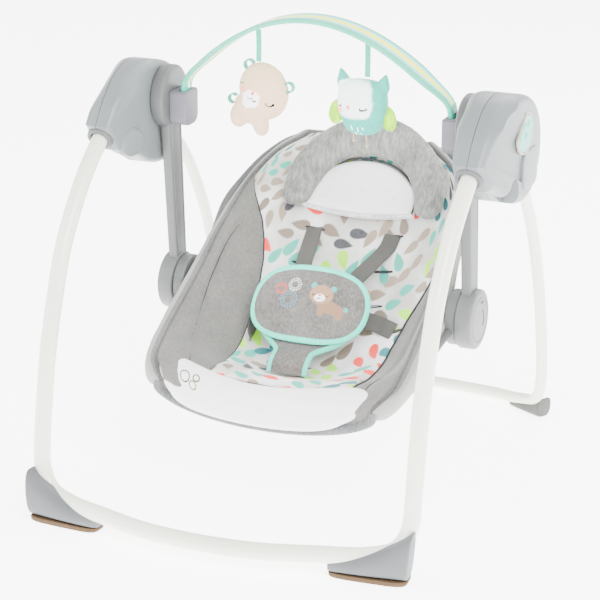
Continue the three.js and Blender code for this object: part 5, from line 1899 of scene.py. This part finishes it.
# ---------------------------------------------------------------- settings, operators and panel
class SWING_PG_settings(bpy.types.PropertyGroup):
    """Sizes and colours that a user may change."""

    tube_sides: IntProperty(name="Tube sides", description="Faces round each tube", default=28, min=12,
                            max=64)
    cloth_rows: IntProperty(name="Cloth rows", description="Rows of faces across the seat's cloth",
                            default=72, min=24, max=120)
    tube_colour: FloatVectorProperty(name="Tube paint", description="Paint of the frame tubes",
                                     subtype="COLOR",
                                     default=seen(228, 228, 225), min=0, max=1)
    housing_colour: FloatVectorProperty(name="Housing plastic", description="Plastic of the pivot housings",
                                        subtype="COLOR",
                                        default=seen(174, 178, 179), min=0, max=1)
    cloth_colour: FloatVectorProperty(name="Seat cloth",
                                      description="Light fibres of the seat's heather cloth", subtype="COLOR",
                                      default=seen(186, 185, 183), min=0, max=1)
    sky: FloatProperty(name="Sky", description="Brightness of the surroundings", default=2.6, min=0, max=5)
    key_power: FloatProperty(name="Key lamp", description="Power of the main lamp in watts", default=130,
                             min=0, max=500)
    azimuth: FloatProperty(name="View azimuth", description="Degrees round the swing", default=23)
    elevation: FloatProperty(name="View elevation", description="Degrees above the horizon", default=18.7)


def operator(label, name, action, words):
    """An operator class that runs one making function."""
    def execute(self, context):
        action(context.scene.baby_swing)
        return {"FINISHED"}

    body = {"bl_idname": f"baby_swing.{name}", "bl_label": label, "bl_options": {"REGISTER", "UNDO"},
            "__doc__": words, "execute": execute}
    return type(f"SWING_OT_{name}", (bpy.types.Operator,), body)


STEPS = (
    ("Finishes", "finishes", make_looks), ("Stage", "stage", make_stage),
         ("Frame tubes", "tubes", make_tubes),
    ("Feet", "feet", make_feet), ("Pivot housings", "housings", make_housings),
         ("Swing arms", "arms", make_arms),
    ("Toy bar and toys", "toys", make_toys), ("Seat sides", "seat_sides", make_seat_shell),
         ("Liner", "liner", make_liner),
    ("Front pad", "front_pad", make_front_pad), ("Headrest", "headrest", make_headrest),
    ("Seat frame", "seat_frame", make_seat_frame), ("Waist pad", "waist_pad", make_waist_pad),
    ("Harness", "harness", make_harness),
)
OPERATORS = [operator(label, name, action, action.__doc__) for label, name, action in STEPS]


class SWING_PT_panel(bpy.types.Panel):
    """Lists the steps that build the swing."""

    bl_idname = "SWING_PT_panel"
    bl_label = "Baby swing"
    bl_space_type = "VIEW_3D"
    bl_region_type = "UI"
    bl_category = "Baby swing"

    def draw(self, context):
        for name in SWING_PG_settings.__annotations__:
            self.layout.prop(context.scene.baby_swing, name)
        for step in OPERATORS:
            self.layout.operator(step.bl_idname)


CLASSES = [SWING_PG_settings, *OPERATORS, SWING_PT_panel]


def register():
    for item in CLASSES:
        bpy.utils.register_class(item)
    bpy.types.Scene.baby_swing = bpy.props.PointerProperty(type=SWING_PG_settings)


def unregister():
    del bpy.types.Scene.baby_swing
    for item in reversed(CLASSES):
        bpy.utils.unregister_class(item)


def main():
    """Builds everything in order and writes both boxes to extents.json."""
    register()
    for _, name, _ in STEPS:
        getattr(bpy.ops.baby_swing, name)()
    finish_kept_nodes()
    sizes = {"cad": [list(corner) for corner in CAD_BOX], "visual": [list(corner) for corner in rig.bounds()]}
    with open("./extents.json", "w") as file:
        json.dump(sizes, file, indent=1)


if __name__ == "__main__":
    main()
